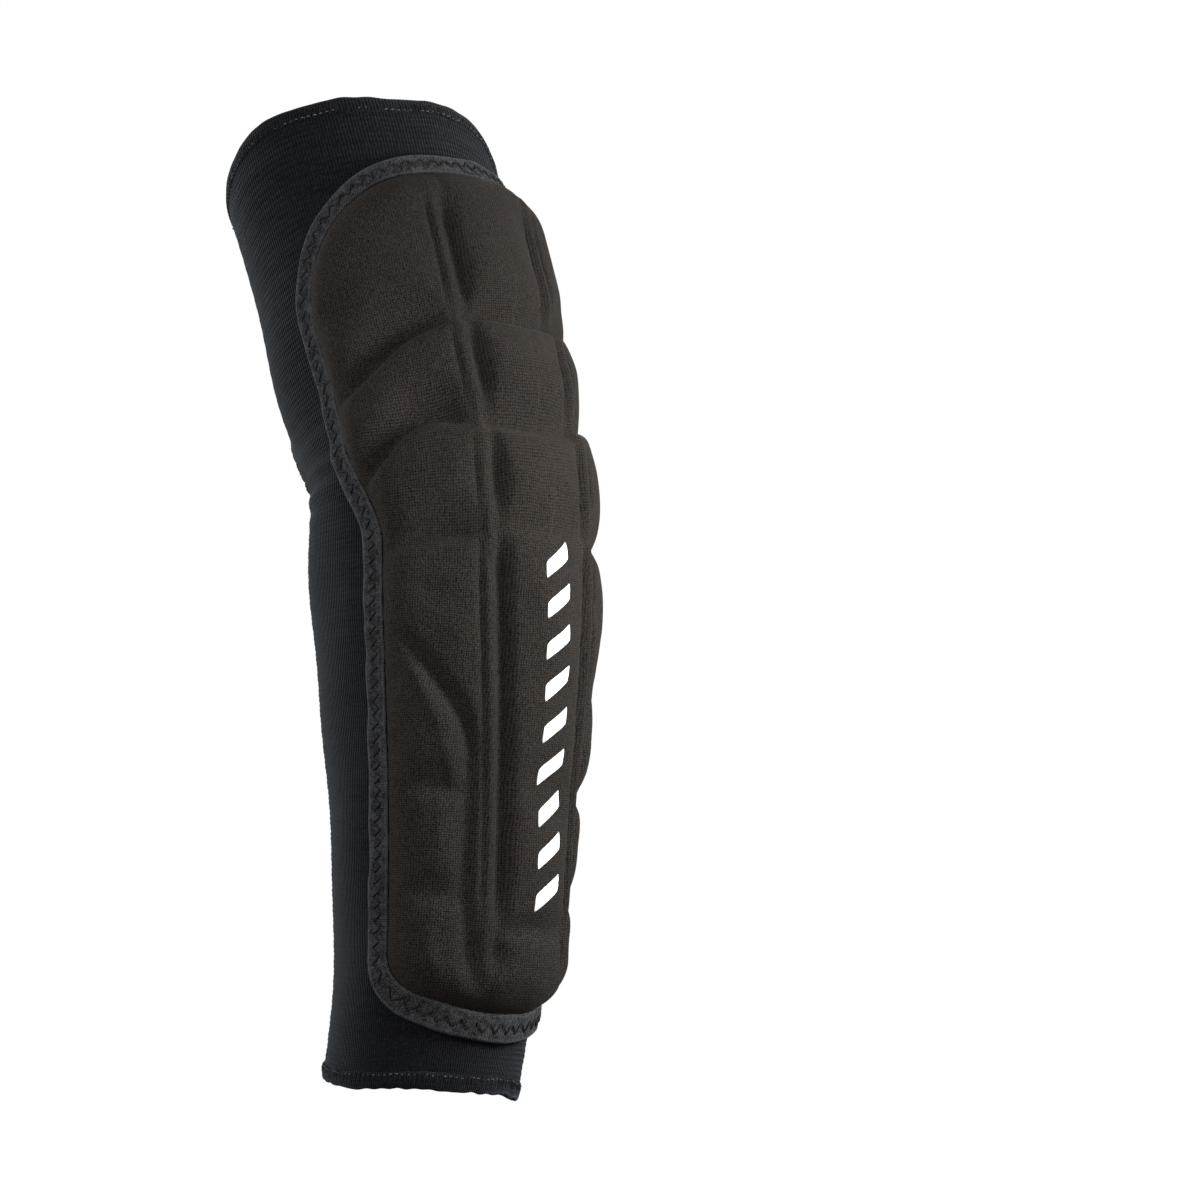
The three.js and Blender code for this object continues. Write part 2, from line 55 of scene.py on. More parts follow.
CREASE_S = 254
CREASE_HALF_WIDTH = 29
CREASE_HALF_HEIGHT = 20.5
CREASE_TAPE = 6

PAD_BOTTOM, PAD_TOP = 31, 338.5
PAD_WIDEN_START, PAD_WIDEN_END = 200, 242
PAD_TOP_CORNER = 52

PRINT_COUNT = 9
PRINT_START, PRINT_END = 74, 196
PRINT_HALF_WIDTH = 4.5
PRINT_BAR = 6.5
PRINT_SLANT = 4

# What the sewn guard does a little differently from the plain CAD shape.
PAD_HALF_ANGLE, PAD_ELBOW_ANGLE = 67.5, 83
PAD_BOTTOM_CORNER = 14
PAD_BOTTOM_RISE = 5.5  # the pad's lower edge climbs towards the wings
BINDING_WIDTH = 8.6
FOAM_CENTRE_ANGLE = 19.2
FOAM_RIB_ANGLES = (22, 31)
FOAM_WING_ANGLE = 34
FOAM_MARGIN = 10
PRINT_ANGLE = 0.5
KNIT_WALE, COURSE = 1.08, 2.0  # the spacing of the knit's wales and of its courses
COLUMN_DRIFT = 6.5  # degrees: the centre column wanders round the arm towards the wrist


# ---- the arm's shape

def smooth(x, low, high):
    t = np.clip((np.asarray(x, float) - low) / (high - low), 0, 1)
    return t * t * (3 - 2 * t)


def through_stations(stations):
    """A smooth curve through (x, y) stations."""
    xs, ys = np.array(stations, float).T
    slopes = np.empty(len(ys))
    slopes[1:-1] = (ys[2:] - ys[:-2]) / (xs[2:] - xs[:-2])
    slopes[0] = (ys[1] - ys[0]) / (xs[1] - xs[0])
    slopes[-1] = (ys[-1] - ys[-2]) / (xs[-1] - xs[-2])

    def curve(x):
        x = np.asarray(x, float)
        i = np.clip(np.searchsorted(xs, x, "right") - 1, 0, len(xs) - 2)
        step = xs[i + 1] - xs[i]
        t = np.clip((x - xs[i]) / step, 0, 1)
        keep = ys[i] * (1 + 2 * t) * (1 - t) ** 2 + ys[i + 1] * (3 - 2 * t) * t**2
        return keep + step * t * (1 - t) * (slopes[i] * (1 - t) - slopes[i + 1] * t)

    return curve


sleeve_radius = through_stations(SLEEVE_RADII)


def lean(s):
    """The centreline's lean towards -X, in radians."""
    wrist = WRIST_LEAN * np.exp(-np.asarray(s, float) / WRIST_LEAN_LENGTH)
    forearm = FOREARM_LEAN * (1 - smooth(s, 0, FOREARM_LEAN_LENGTH))
    return np.radians(ELBOW_BEND * smooth(s, BEND_START, BEND_END) - wrist - forearm)


STATIONS = np.arange(SLEEVE_LENGTH + 1)
MIDDLES = STATIONS[:-1] + 0.5
CENTRE_X = np.concatenate([[0], np.cumsum(-np.sin(lean(MIDDLES)))])
CENTRE_Z = np.concatenate([[0], np.cumsum(np.cos(lean(MIDDLES)))])


def along(s):
    a = lean(np.clip(s, 0, SLEEVE_LENGTH))
    return np.stack([-np.sin(a), 0 * a, np.cos(a)], -1)


def outward(s):
    a = lean(np.clip(s, 0, SLEEVE_LENGTH))
    return np.stack([np.cos(a), 0 * a, np.sin(a)], -1)


def centre(s):
    s = np.asarray(s, float)
    inside = np.clip(s, 0, SLEEVE_LENGTH)
    x = np.interp(inside, STATIONS, CENTRE_X)
    z = np.interp(inside, STATIONS, CENTRE_Z)
    return np.stack([x, 0 * x, z], -1) + (s - inside)[..., None] * along(s)


Y_AXIS = np.array([0.0, 1.0, 0.0])


def bump(x, middle, width):
    return np.exp(-(((x - middle) / width) ** 2))


def face(s, phi):
    """How far the cloth of the sleeve stands off its plain tube: fullness, wrinkles and slack."""
    side = np.abs(np.arctan2(np.sin(phi), np.cos(phi)))  # 0 at the pad, pi at the crease
    bare = smooth(side, 1.1, 1.7)
    slack = 0.7 * np.sin(s / 41 + 1.3) * np.cos(phi + 0.4) + 0.45 * np.sin(s / 19 + 2 * phi)
    slack += 0.3 * np.sin(s / 11 - 3 * phi + 1)
    full = 4.8 * bump(s, 288, 38) * smooth(side, 1.6, 2.4)
    full += 2.4 * bump(s, 196, 34) * smooth(side, 1.7, 2.3)
    pinch = -1.0 * bump(s, 238, 7) * bump(side, 2.35, 0.5)
    folds = 0.8 * np.sin(s * 0.55 - 2.2 * side) * bump(s, 236, 13) * bump(side, 2.1, 0.45)
    wrist = -2.2 * bump(s, -4, 15)
    return wrist + bare * (slack + full + pinch + folds)


def away_from_arm(s, phi):
    """The direction straight out from the centreline at an angle round the arm."""
    return np.cos(phi)[..., None] * outward(s) + np.sin(phi)[..., None] * Y_AXIS


def surface_point(s, phi, h):
    s, phi, h = np.broadcast_arrays(np.asarray(s, float), phi, h)
    reach = sleeve_radius(s) + face(s, phi) + h
    return centre(s) + reach[..., None] * away_from_arm(s, phi)


def flat_point(u, s, h):
    """The same, from u, the distance round the sleeve from the middle of the pad."""
    return surface_point(s, u / sleeve_radius(s), h)


# ---- meshes

def new_object(name, data):
    obj = bpy.data.objects.new(name, data)
    bpy.context.scene.collection.objects.link(obj)
    return obj


def even_turn(count):
    """That many even angles round a full turn."""
    return np.linspace(0, 2 * np.pi, count, endpoint=False)


def squared(x, power):
    """x, from -1 to 1, pushed towards its ends: it turns a round section into a squarer one."""
    return np.sign(x) * np.abs(x) ** power


def unit(vectors):
    return vectors / np.linalg.norm(vectors, axis=1, keepdims=True)


def cloth_grid(long, across):
    """Places in the flat cloth, for rows at long and columns at across."""
    return np.stack(np.broadcast_arrays(long[:, None], across), -1)


def grid_mesh(name, points, wrap_rows=False, wrap_columns=False, cloth=None, keep=None):
    """A mesh over points[i][j], in millimetres. cloth gives each point's place in the flat cloth, in
    millimetres, and a wrapped grid's cloth has one more row or column. keep says which quads are made."""
    rows, columns = points.shape[:2]
    steps = rows if wrap_rows else rows - 1, columns if wrap_columns else columns - 1
    i, j = np.meshgrid(np.arange(steps[0]), np.arange(steps[1]), indexing="ij")
    if keep is not None:
        i, j = i[keep], j[keep]
    i, j = i.ravel(), j.ravel()
    fi, fj = np.stack([i, i + 1, i + 1, i], 1), np.stack([j, j, j + 1, j + 1], 1)
    index = (fi % rows) * columns + fj % columns
    used, index = np.unique(index, return_inverse=True)
    index = index.reshape(-1, 4)
    mesh = bpy.data.meshes.new(name)
    mesh.from_pydata((points.reshape(-1, 3)[used] * MM).tolist(), [], index.tolist())
    if cloth is not None:
        layer = mesh.uv_layers.new(name="cloth")
        layer.data.foreach_set("uv", cloth[fi, fj].reshape(-1))
    mesh.polygons.foreach_set("use_smooth", np.ones(len(mesh.polygons), bool))
    mesh.update()
    return new_object(name, mesh)


def apply_modifiers(obj):
    depsgraph = bpy.context.evaluated_depsgraph_get()
    depsgraph.update()
    mesh = bpy.data.meshes.new_from_object(obj.evaluated_get(depsgraph), depsgraph=depsgraph)
    old = obj.data
    obj.modifiers.clear()
    obj.data = mesh
    bpy.data.meshes.remove(old)
    mesh.name = obj.name


def thicken(obj, thickness, inner_material=0):
    modifier = obj.modifiers.new("thickness", "SOLIDIFY")
    modifier.thickness = thickness * MM
    modifier.offset = -1
    modifier.material_offset = inner_material
    apply_modifiers(obj)


def wrapped(values):
    """values with its first row again at the end."""
    return np.concatenate([values, values[:1]])


def ring_solid(name, points, cloth=None):
    """A closed ring: points[i][j] with i round the ring and j round its section."""
    return grid_mesh(name, points, wrap_rows=True, wrap_columns=True, cloth=cloth)


THREAD_SIDES = 6


def make_thread(name, path, normals, radius, length):
    """A closed round thread along a closed path. length is each point's distance along the thread."""
    ahead = unit(np.roll(path, -1, 0) - np.roll(path, 1, 0))
    across = unit(np.cross(ahead, normals))[:, None]
    up = np.cross(across, ahead[:, None])
    turn = even_turn(THREAD_SIDES)[None, :, None]
    points = path[:, None] + radius * np.cos(turn) * across + radius * np.sin(turn) * up
    return ring_solid(name, points, cloth_grid(length, np.linspace(0, 2, THREAD_SIDES + 1)))


def smooth_noise(seed, waves, lowest=1):
    """A function of an angle, with waves whole waves to the turn at most, about 1 high."""
    random = np.random.RandomState(seed)
    counts = np.arange(lowest, waves + 1)
    phases = random.uniform(0, 2 * np.pi, len(counts))
    heights = random.uniform(0.4, 1, len(counts))
    heights /= np.sqrt((heights**2).sum() / 2) * 1.6
    return lambda angle: sum(
        a * np.sin(n * np.asarray(angle) + p) for a, n, p in zip(heights, counts, phases)
    )


# ---- material nodes

class Nodes:
    """Adds shader nodes to one material and joins them."""

    def __init__(self, name):
        self.material = bpy.data.materials.new(name)
        self.material.use_nodes = True
        self.tree = self.material.node_tree
        self.shader = self.tree.nodes["Principled BSDF"]

    def add(self, kind, inputs=(), **settings):
        node = self.tree.nodes.new(kind)
        for key, value in settings.items():
            setattr(node, key, value)
        for key, value in dict(inputs).items():
            self.put(node.inputs[key], value)
        return node

    def put(self, socket, value):
        if isinstance(value, bpy.types.NodeSocket):
            self.tree.links.new(value, socket)
        else:
            socket.default_value = value

    def math(self, operation, *values):
        return self.add("ShaderNodeMath", enumerate(values), operation=operation).outputs[0]

    def times(self, a, b):
        return self.math("MULTIPLY", a, b)

    def plus(self, a, b):
        return self.math("ADD", a, b)

    def times_plus(self, a, b, c):
        return self.math("MULTIPLY_ADD", a, b, c)

    def cloth(self):
        """The place in the flat cloth, in millimetres, as two sockets."""
        uv = self.add("ShaderNodeUVMap", uv_map="cloth")
        apart = self.add("ShaderNodeSeparateXYZ", {"Vector": uv.outputs[0]})
        return apart.outputs[0], apart.outputs[1]

    def wave(self, place, pitch, phase=0.0):
        """A sine of that pitch, from 0 to 1."""
        turn = self.math("MULTIPLY_ADD", place, 2 * math.pi / pitch, phase)
        return self.math("MULTIPLY_ADD", self.math("SINE", turn), 0.5, 0.5)

    def noise(self, scale, detail=2.0, roughness=0.5, stretch=(1, 1, 1)):
        """Noise in the object's own space. scale is features to the metre."""
        place = self.add("ShaderNodeTexCoord").outputs["Object"]
        if stretch != (1, 1, 1):
            place = self.add("ShaderNodeMapping", {"Vector": place, "Scale": stretch}).outputs[0]
        inputs = {"Vector": place, "Scale": scale, "Detail": detail, "Roughness": roughness}
        return self.add("ShaderNodeTexNoise", inputs).outputs["Fac"]

    def ramp(self, value, low, high, to_low=0.0, to_high=1.0):
        inputs = {"Value": value, "From Min": low, "From Max": high, "To Min": to_low, "To Max": to_high}
        return self.add("ShaderNodeMapRange", inputs).outputs[0]

    def tint(self, share, dark, light):
        inputs = {0: share, 6: (*dark, 1), 7: (*light, 1)}
        return self.add("ShaderNodeMix", inputs, data_type="RGBA").outputs[2]

    def bump(self, height, distance, strength=1.0, before=None):
        inputs = {"Height": height, "Distance": distance * MM, "Strength": strength}
        node = self.add("ShaderNodeBump", inputs)
        if before is not None:
            self.put(node.inputs["Normal"], before)
        return node.outputs[0]

    def finish(self, colour, roughness, normal=None, **inputs):
        self.put(self.shader.inputs["Base Color"], colour)
        self.put(self.shader.inputs["Roughness"], roughness)
        if normal is not None:
            self.put(self.shader.inputs["Normal"], normal)
        for key, value in inputs.items():
            self.put(self.shader.inputs[key.replace("_", " ")], value)
        return self.material


def knit_material(name, dark, light, course=COURSE):
    """Ribbed elastic knit: wales that run along the arm, and courses across them."""
    n = Nodes(name)
    u, s = n.cloth()
    uneven = n.noise(90, 3.0)
    shift = n.times(n.math("SUBTRACT", uneven, 0.5), 1.6)
    wales = n.wave(n.plus(u, n.times(shift, 0.25)), KNIT_WALE)
    courses = n.wave(n.plus(s, shift), course)
    stitches = n.wave(s, course / 2)
    rows = n.noise(55, 2.0, stretch=(0.25, 0.25, 7))
    height = n.plus(n.times(wales, 0.55), n.times(courses, 0.35))
    height = n.times_plus(stitches, n.times(wales, 0.3), height)
    bright = n.times(n.math("POWER", wales, 1.5), n.times_plus(courses, 0.5, 0.5))
    bright = n.times(bright, n.ramp(rows, 0.3, 0.7, 0.4, 1.3))
    bright = n.times_plus(n.ramp(n.noise(950, 2.0, 0.6), 0.48, 0.66), 0.7, bright)
    colour = n.tint(bright, dark, light)
    fuzz = n.bump(n.noise(2600, 3.0), 0.12, 0.5)
    normal = n.bump(height, 0.35, 0.9, fuzz)
    return n.finish(colour, 0.93, normal, Specular_IOR_Level=0.12, Sheen_Weight=0.12,
                    Sheen_Roughness=0.45, Sheen_Tint=(0.75, 0.85, 1.0, 1))


def lining_material():
    n = Nodes("lining")
    u, s = n.cloth()
    courses = n.wave(s, COURSE)
    height = n.plus(n.times(n.wave(u, KNIT_WALE), 0.6), n.times(courses, 0.4))
    shade = n.times_plus(n.noise(60, 4.0), 0.5, n.times(height, 0.35))
    colour = n.tint(shade, (0.2, 0.204, 0.212), (0.44, 0.445, 0.455))
    return n.finish(colour, 0.95, n.bump(height, 0.25, 0.6), Specular_IOR_Level=0.1)


def cover_material():
    """Fine woven cloth, brown-black: a coarse-grained weave with uneven threads and a little dust."""
    n = Nodes("cover_cloth")
    u, s = n.cloth()
    waver = n.times(n.noise(60, 2.0), 2.0)
    warp = n.wave(n.plus(u, waver), 0.8)
    weft = n.wave(n.plus(s, waver), 0.86)
    weave = n.times(warp, weft)
    grain = n.ramp(n.noise(1300, 2.0, 0.6), 0.42, 0.6)
    streak = n.ramp(n.noise(1300, 1.0, 0.5, stretch=(1, 1, 0.3)), 0.38, 0.62)
    worn = n.ramp(n.noise(28, 4.0, 0.6), 0.3, 0.7, -0.05, 0.06)
    dust = n.ramp(n.noise(2100, 1.0, 0.5), 0.7, 0.78)
    share = n.times_plus(grain, 0.42, n.times_plus(streak, 0.1, worn))
    share = n.times_plus(weave, 0.7, share)
    share = n.times_plus(dust, 0.35, share)
    colour = n.tint(share, (0.0012, 0.0010, 0.0008), (0.0345, 0.0285, 0.0245))
    fine = n.bump(grain, 0.16, 0.8)
    normal = n.bump(weave, 0.2, 0.7, fine)
    return n.finish(colour, 0.88, normal, Specular_IOR_Level=0.13, Sheen_Weight=0.03,
                    Sheen_Roughness=0.5, Sheen_Tint=(1.0, 0.92, 0.84, 1))


def tape_material():
    """Woven tape: fine ribs across its width, a little blue, with a painted highlight along both folded
    edges.
    """
    n = Nodes("binding_tape")
    u, s = n.cloth()
    ribs = n.wave(u, 0.9)
    twill = n.wave(n.plus(u, s), 1.3)
    height = n.plus(n.times(ribs, 0.6), n.times(twill, 0.5))
    grain = n.ramp(n.noise(1150, 2.0, 0.6), 0.4, 0.62)
    patches = n.ramp(n.noise(330, 2.0), 0.35, 0.65, -0.18, 0.3)
    share = n.times_plus(height, 0.3, n.times_plus(grain, 0.5, patches))
    # painted highlight: a light band along each folded edge of the tape, 1.0 and 9.3 mm round its section
    for edge in (1.0, 9.3):
        near = n.ramp(n.math("ABSOLUTE", n.math("SUBTRACT", s, edge)), 0.2, 0.9, 0.5, 0.0)
        share = n.plus(share, near)
    colour = n.tint(share, (0.0020, 0.0023, 0.0029), (0.052, 0.0535, 0.0585))
    normal = n.bump(height, 0.25, 0.9, n.bump(grain, 0.2, 0.7))
    return n.finish(colour, 0.85, normal, Specular_IOR_Level=0.2, Sheen_Weight=0.08,
                    Sheen_Roughness=0.4, Sheen_Tint=(0.85, 0.95, 1.0, 1))


def thread_material(name, dark, light):
    """Twisted sewing thread."""
    n = Nodes(name)
    u, s = n.cloth()
    twist = n.wave(n.plus(u, n.times(s, 0.6)), 0.7)
    colour = n.tint(n.times_plus(n.noise(300), 0.4, n.times(twist, 0.5)), dark, light)
    return n.finish(colour, 0.62, n.bump(twist, 0.12, 0.8), Specular_IOR_Level=0.35)


def foam_material():
    n = Nodes("foam")
    place = n.add("ShaderNodeTexCoord").outputs["Object"]
    cells = n.add("ShaderNodeTexVoronoi", {"Vector": place, "Scale": 900}).outputs["Distance"]
    share = n.times_plus(cells, 0.6, n.noise(80, 3.0))
    colour = n.tint(share, (0.03, 0.03, 0.032), (0.09, 0.09, 0.094))
    return n.finish(colour, 0.9, n.bump(cells, 0.3, 0.8), Specular_IOR_Level=0.2)


def print_material():
    """A thin white print with the weave showing through and small worn spots."""
    n = Nodes("print")
    u, s = n.cloth()
    weave = n.times(n.wave(n.plus(u, s), 0.95), n.wave(n.math("SUBTRACT", u, s), 0.95))
    worn = n.ramp(n.noise(900, 4.0, 0.7), 0.66, 0.74)
    share = n.math("SUBTRACT", n.times_plus(weave, 0.12, 0.88), n.times(worn, 0.5))
    colour = n.tint(share, (0.16, 0.155, 0.15), (0.86, 0.86, 0.85))
    return n.finish(colour, 0.55, n.bump(weave, 0.12, 0.5), Specular_IOR_Level=0.3)


KNIT = knit_material("knit", (0.0003, 0.0004, 0.0006), (0.0088, 0.0096, 0.0118))
HEM = knit_material("hem", (0.0004, 0.0005, 0.0007), (0.0100, 0.0110, 0.0134), course=1.6)
LINING = lining_material()
COVER = cover_material()
TAPE = tape_material()
THREAD = thread_material("thread", (0.0012, 0.0015, 0.0018), (0.008, 0.009, 0.011))
LIGHT_THREAD = thread_material("light_thread", (0.03, 0.032, 0.036), (0.15, 0.155, 0.17))
FOAM = foam_material()
PRINT = print_material()


def finish_piece(obj, materials, nodes=()):
    """Gives a piece its materials, hides the CAD nodes that it stands for, and bakes its placement into its
    mesh.
    """
    for i, material in enumerate(materials):
        if i < len(obj.data.materials):
            obj.data.materials[i] = material
        else:
            obj.data.materials.append(material)
    if nodes:
        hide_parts(*nodes)
    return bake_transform(obj)


# ---- sleeve

WALES = 260
SLEEVE_COLUMNS = 136
SLEEVE_STEP = 0.5


def top_shift(phi):
    """How far the biceps end of the sleeve reaches past its plain length: it sits a little askew."""
    askew = 4.2 + 1.2 * np.cos(phi) - 9.6 * np.sin(phi) - 2.4 * np.sin(2 * phi + 0.6)
    askew += 1.6 * bump(np.cos(phi + 1.9), 1, 0.4) + 4.2 * bump(np.cos(phi - 0.14), 1, 0.1)
    return askew + 0.7 * np.sin(3 * phi + 0.5) + 0.4 * np.sin(7 * phi)


def bottom_shift(phi):
    askew = -1.3 + 4.6 * np.cos(phi + 0.21) + 1.5 * np.cos(2 * phi + 0.7)
    return askew + 0.4 * np.sin(5 * phi)


def sleeve_station(s, phi):
    """A station of the cut tube moved to where the cloth's ends really lie."""
    return s + top_shift(phi) * smooth(s, 300, 364) + bottom_shift(phi) * (1 - smooth(s, 0, 30))


def in_crease(points, margin):
    """Which points lie inside the crease opening, made wider by margin."""
    away = points - centre(CREASE_S)
    behind = away @ outward(CREASE_S) < 0
    y = away[..., 1] / (CREASE_HALF_WIDTH + margin)
    v = away @ along(CREASE_S) / (CREASE_HALF_HEIGHT + margin)
    return behind & (y * y + v * v < 1)


def sleeve_cloth(phi, s):
    """The flat cloth of the sleeve: a whole number of wales round it."""
    return cloth_grid(phi / (2 * np.pi) * WALES * KNIT_WALE, s)


def make_sleeve():
    phi = even_turn(SLEEVE_COLUMNS)[:, None]
    count = int((SLEEVE_LENGTH - 5) / SLEEVE_STEP) + 1
    s = np.linspace(2.5, SLEEVE_LENGTH - 2.5, count)[None, :]
    ribs = 0.15 * np.abs(np.sin(np.pi * s / COURSE)) + 0.06 * np.sin(s * 0.9 + np.sin(phi * 3))
    points = surface_point(sleeve_station(s, phi), phi, ribs - 0.2)
    turn = np.linspace(0, 2 * np.pi, SLEEVE_COLUMNS + 1)
    inside = in_crease(points, 2.6)
    corners = [np.roll(inside, -i, 0)[:, j : count - 1 + j] for i in (0, 1) for j in (0, 1)]
    keep = ~np.any(corners, axis=0)
    sleeve = grid_mesh("knit_sleeve", points, wrap_rows=True, cloth=sleeve_cloth(turn, s), keep=keep)
    sleeve.data.materials.append(KNIT)
    sleeve.data.materials.append(LINING)
    thicken(sleeve, SLEEVE_WALL - 0.3, inner_material=1)
    return sleeve


def sleeve_area():
    """The knit tube's area in square metres when it is slit along its length and laid flat."""
    opening = math.pi * CREASE_HALF_WIDTH * CREASE_HALF_HEIGHT
    return float(2 * math.pi * sleeve_radius(MIDDLES).sum() - opening) * MM**2


def make_hem(name, first, last):
    """The rolled edge of the sleeve: a closed ring that holds the sleeve's end between two layers."""
    columns, section = 420, 20
    phi = even_turn(columns)[:, None]
    turn = even_turn(section)[None, :]
    middle, reach = (first + last) / 2, (last - first) / 2
    outwards = 1 if first == 0 else -1
    across = squared(np.cos(turn), 0.75)
    rise = squared(np.sin(turn), 0.8)
    wave = smooth_noise(5 + int(first), 30, 3)(phi)
    pucker = 0.16 * np.sin(phi * 110) * (across * outwards > 0)
    thick = 1.4 + 0.12 * wave + pucker
    s = middle + across * (reach + 0.25 * smooth_noise(9 + int(first), 40, 8)(phi))
    h = -0.8 + rise * thick + 0.2 * smooth_noise(3, 9, 2)(phi)
    points = surface_point(sleeve_station(s, phi), phi, h)
    cloth = sleeve_cloth(np.linspace(0, 2 * np.pi, columns + 1), np.linspace(0, 18, section + 1))
    return ring_solid(name, points, cloth)


def make_hem_thread(name, edge, inner, loops=128):
    """Overlock thread: loops that run from the seam over the hem's edge and back inside."""
    steps = 8
    turn = even_turn(loops * steps)
    loop = turn * loops
    reach = (1 - np.cos(loop)) / 2
    seam = inner + (edge - inner) * 0.08
    s = seam + (edge - seam) * 0.62 * reach
    phi = turn + 0.42 / loops * np.sin(2 * loop)
    h = 0.62 + 0.08 * np.sin(loop) - 0.4 * (1 - reach) ** 4 - 0.4 * reach**4
    path = surface_point(sleeve_station(s, phi), phi, h)
    length = np.linspace(0, loops * 12, len(path) + 1)
    return make_thread(name, path, away_from_arm(s, phi), 0.16, length)


def make_hem_dots(name, edge, inner, stitches=104):
    """Cover stitching: one thread along the hem that shows as a short dash on each second stitch."""
    steps = 8
    turn = even_turn(stitches * steps)
    s = edge + (inner - edge) * (0.8 + 0.03 * np.sin(turn * 23))
    h = -0.05 + 0.62 * np.sin(turn * stitches) + 0.3 * smooth_noise(15, 60, 9)(turn)
    path = surface_point(sleeve_station(s, turn), turn, h)
    length = np.linspace(0, 330, len(path) + 1)
    return make_thread(name, path, away_from_arm(s, turn), 0.2, length)


# ---- crease opening

def height_above_sleeve(points, s):
    """The height of points above the sleeve's cloth. s is a first guess of their stations."""
    for _ in range(12):
        s = s + np.sum((points - centre(s)) * along(s), -1) * 0.7
    away = points - centre(s)
    phi = np.arctan2(away[..., 1], np.sum(away * outward(s), -1))
    return np.linalg.norm(away, axis=-1) - sleeve_radius(s) - face(s, phi)


def crease_point(y, v, h):
    """The point h above the sleeve that lies y across and v up from the opening's centre."""
    y, v, h = np.broadcast_arrays(y, v, h)
    start = centre(CREASE_S) + v[..., None] * along(CREASE_S) + y[..., None] * Y_AXIS
    low, high = np.full(y.shape, 5.0), np.full(y.shape, 80.0)
    for _ in range(26):
        middle = (low + high) / 2
        below = height_above_sleeve(start - middle[..., None] * outward(CREASE_S), CREASE_S + v) < h
        low, high = np.where(below, middle, low), np.where(below, high, middle)
    return start - low[..., None] * outward(CREASE_S)


def crease_ring(turn, width, h):
    y = (CREASE_HALF_WIDTH + width) * np.cos(turn)
    v = (CREASE_HALF_HEIGHT + width) * np.sin(turn)
    return crease_point(y, v, h)


CREASE_LENGTH = 176


def make_crease_binding():
    columns, section = 260, 18
    turn = even_turn(columns)[:, None]
    spin = even_turn(section)[None, :]
    across = squared(np.cos(spin), 0.7)
    rise = squared(np.sin(spin), 0.8)
    wave = smooth_noise(31, 22, 2)(turn)
    half = CREASE_TAPE / 2
    width = half + across * (half + 0.25 + 0.22 * wave)
    seam = 0.35 * bump(across, 0.15, 0.3) * (0.6 + 0.4 * np.cos(turn * 44))
    h = -0.75 + rise * (2.15 + 0.18 * smooth_noise(33, 30, 4)(turn) - seam)
    points = crease_ring(turn, width, h)
    cloth = cloth_grid(np.linspace(0, CREASE_LENGTH, columns + 1), np.linspace(0, 16, section + 1))
    return ring_solid("crease_tape", points, cloth)


def make_crease_thread():
    stitches, steps = 62, 6
    turn = even_turn(stitches * steps)
    phase = turn * stitches / 2
    zigzag = 2 / np.pi * np.arcsin(np.sin(phase))
    dip = np.abs(zigzag) ** 6
    width = CREASE_TAPE * 0.56 + 1.25 * zigzag
    path = crease_ring(turn, width, 1.36 - 0.45 * dip)
    normals = crease_ring(turn, width, 3.0) - path
    length = np.linspace(0, 260, len(path) + 1)
    return make_thread("crease_tape_seam", path, normals, 0.28, length)


# ---- the pad's outline

def pad_half_width(s):
    wide = smooth(s, PAD_WIDEN_START, PAD_WIDEN_END)
    return np.radians(PAD_HALF_ANGLE + (PAD_ELBOW_ANGLE - PAD_HALF_ANGLE) * wide) * sleeve_radius(s)


def bottom_rise(u, s):
    """How far the pad's lower end climbs at a distance round the sleeve, fading up the pad."""
    return PAD_BOTTOM_RISE * smooth(np.abs(u), 6, 42) * (1 - smooth(s, 45, 110))


def pad_inset(u, s):
    """The distance inside the pad's outline, at most the nearest corner's radius."""
    s = s - bottom_rise(u, s)
    lower = s < (PAD_BOTTOM + PAD_TOP) / 2
    radius = np.where(lower, PAD_BOTTOM_CORNER, PAD_TOP_CORNER)
    past = np.where(lower, PAD_BOTTOM + PAD_BOTTOM_CORNER - s, s - PAD_TOP + PAD_TOP_CORNER)
    over = np.abs(u) - (pad_half_width(s) - radius)
    return radius - np.hypot(np.maximum(over, 0), np.maximum(past, 0))


def pad_outline(step=1.0):
    """The pad's closed outline as points (u, s), from the middle of its bottom up the +Y side."""
    turn = np.linspace(0, np.pi / 2, 60)
    low_s = PAD_BOTTOM + PAD_BOTTOM_CORNER * (1 - np.cos(turn))
    low_u = pad_half_width(low_s) - PAD_BOTTOM_CORNER * (1 - np.sin(turn))
    high_s = PAD_TOP - PAD_TOP_CORNER * (1 - np.cos(turn[::-1]))
    high_u = pad_half_width(high_s) - PAD_TOP_CORNER * (1 - np.sin(turn[::-1]))
    side_s = np.linspace(low_s[-1], high_s[0], 200)[1:-1]
    u = np.concatenate([[0], low_u, pad_half_width(side_s), high_u, [0]])
    s = np.concatenate([[PAD_BOTTOM], low_s, side_s, high_s, [PAD_TOP]])
    u = np.concatenate([u, -u[-2:0:-1]])
    s = np.concatenate([s, s[-2:0:-1]])
    loop = wrapped(np.stack([u, s], 1))
    length = np.concatenate([[0], np.cumsum(np.linalg.norm(np.diff(loop, axis=0), axis=1))])
    even = np.linspace(0, length[-1], int(length[-1] / step), endpoint=False)
    path = np.stack([np.interp(even, length, loop[:, k]) for k in (0, 1)], 1)
    path[:, 1] += bottom_rise(path[:, 0], path[:, 1])
    ahead = unit(np.roll(path, -2, 0) - np.roll(path, 2, 0))
    out = np.stack([ahead[:, 1], -ahead[:, 0]], 1)
    return path, out, even, length[-1]


# ---- the pad's relief

# Across the pad, a place is told by its pattern angle: degrees from the middle of the centre column,
# which drifts round the arm. On a wing it is the plain angle round the arm.

def column_drift(s):
    return COLUMN_DRIFT * (1 - smooth(s, 70, 215)) - 0.5


def local_drift(angle, s):
    """The centre column's drift, fading out over the wings."""
    return column_drift(s) * (1 - smooth(np.abs(angle), 45, 70))


def pattern_angle(u, s):
    angle = np.degrees(u / sleeve_radius(s))
    return np.abs(angle - local_drift(angle, s))


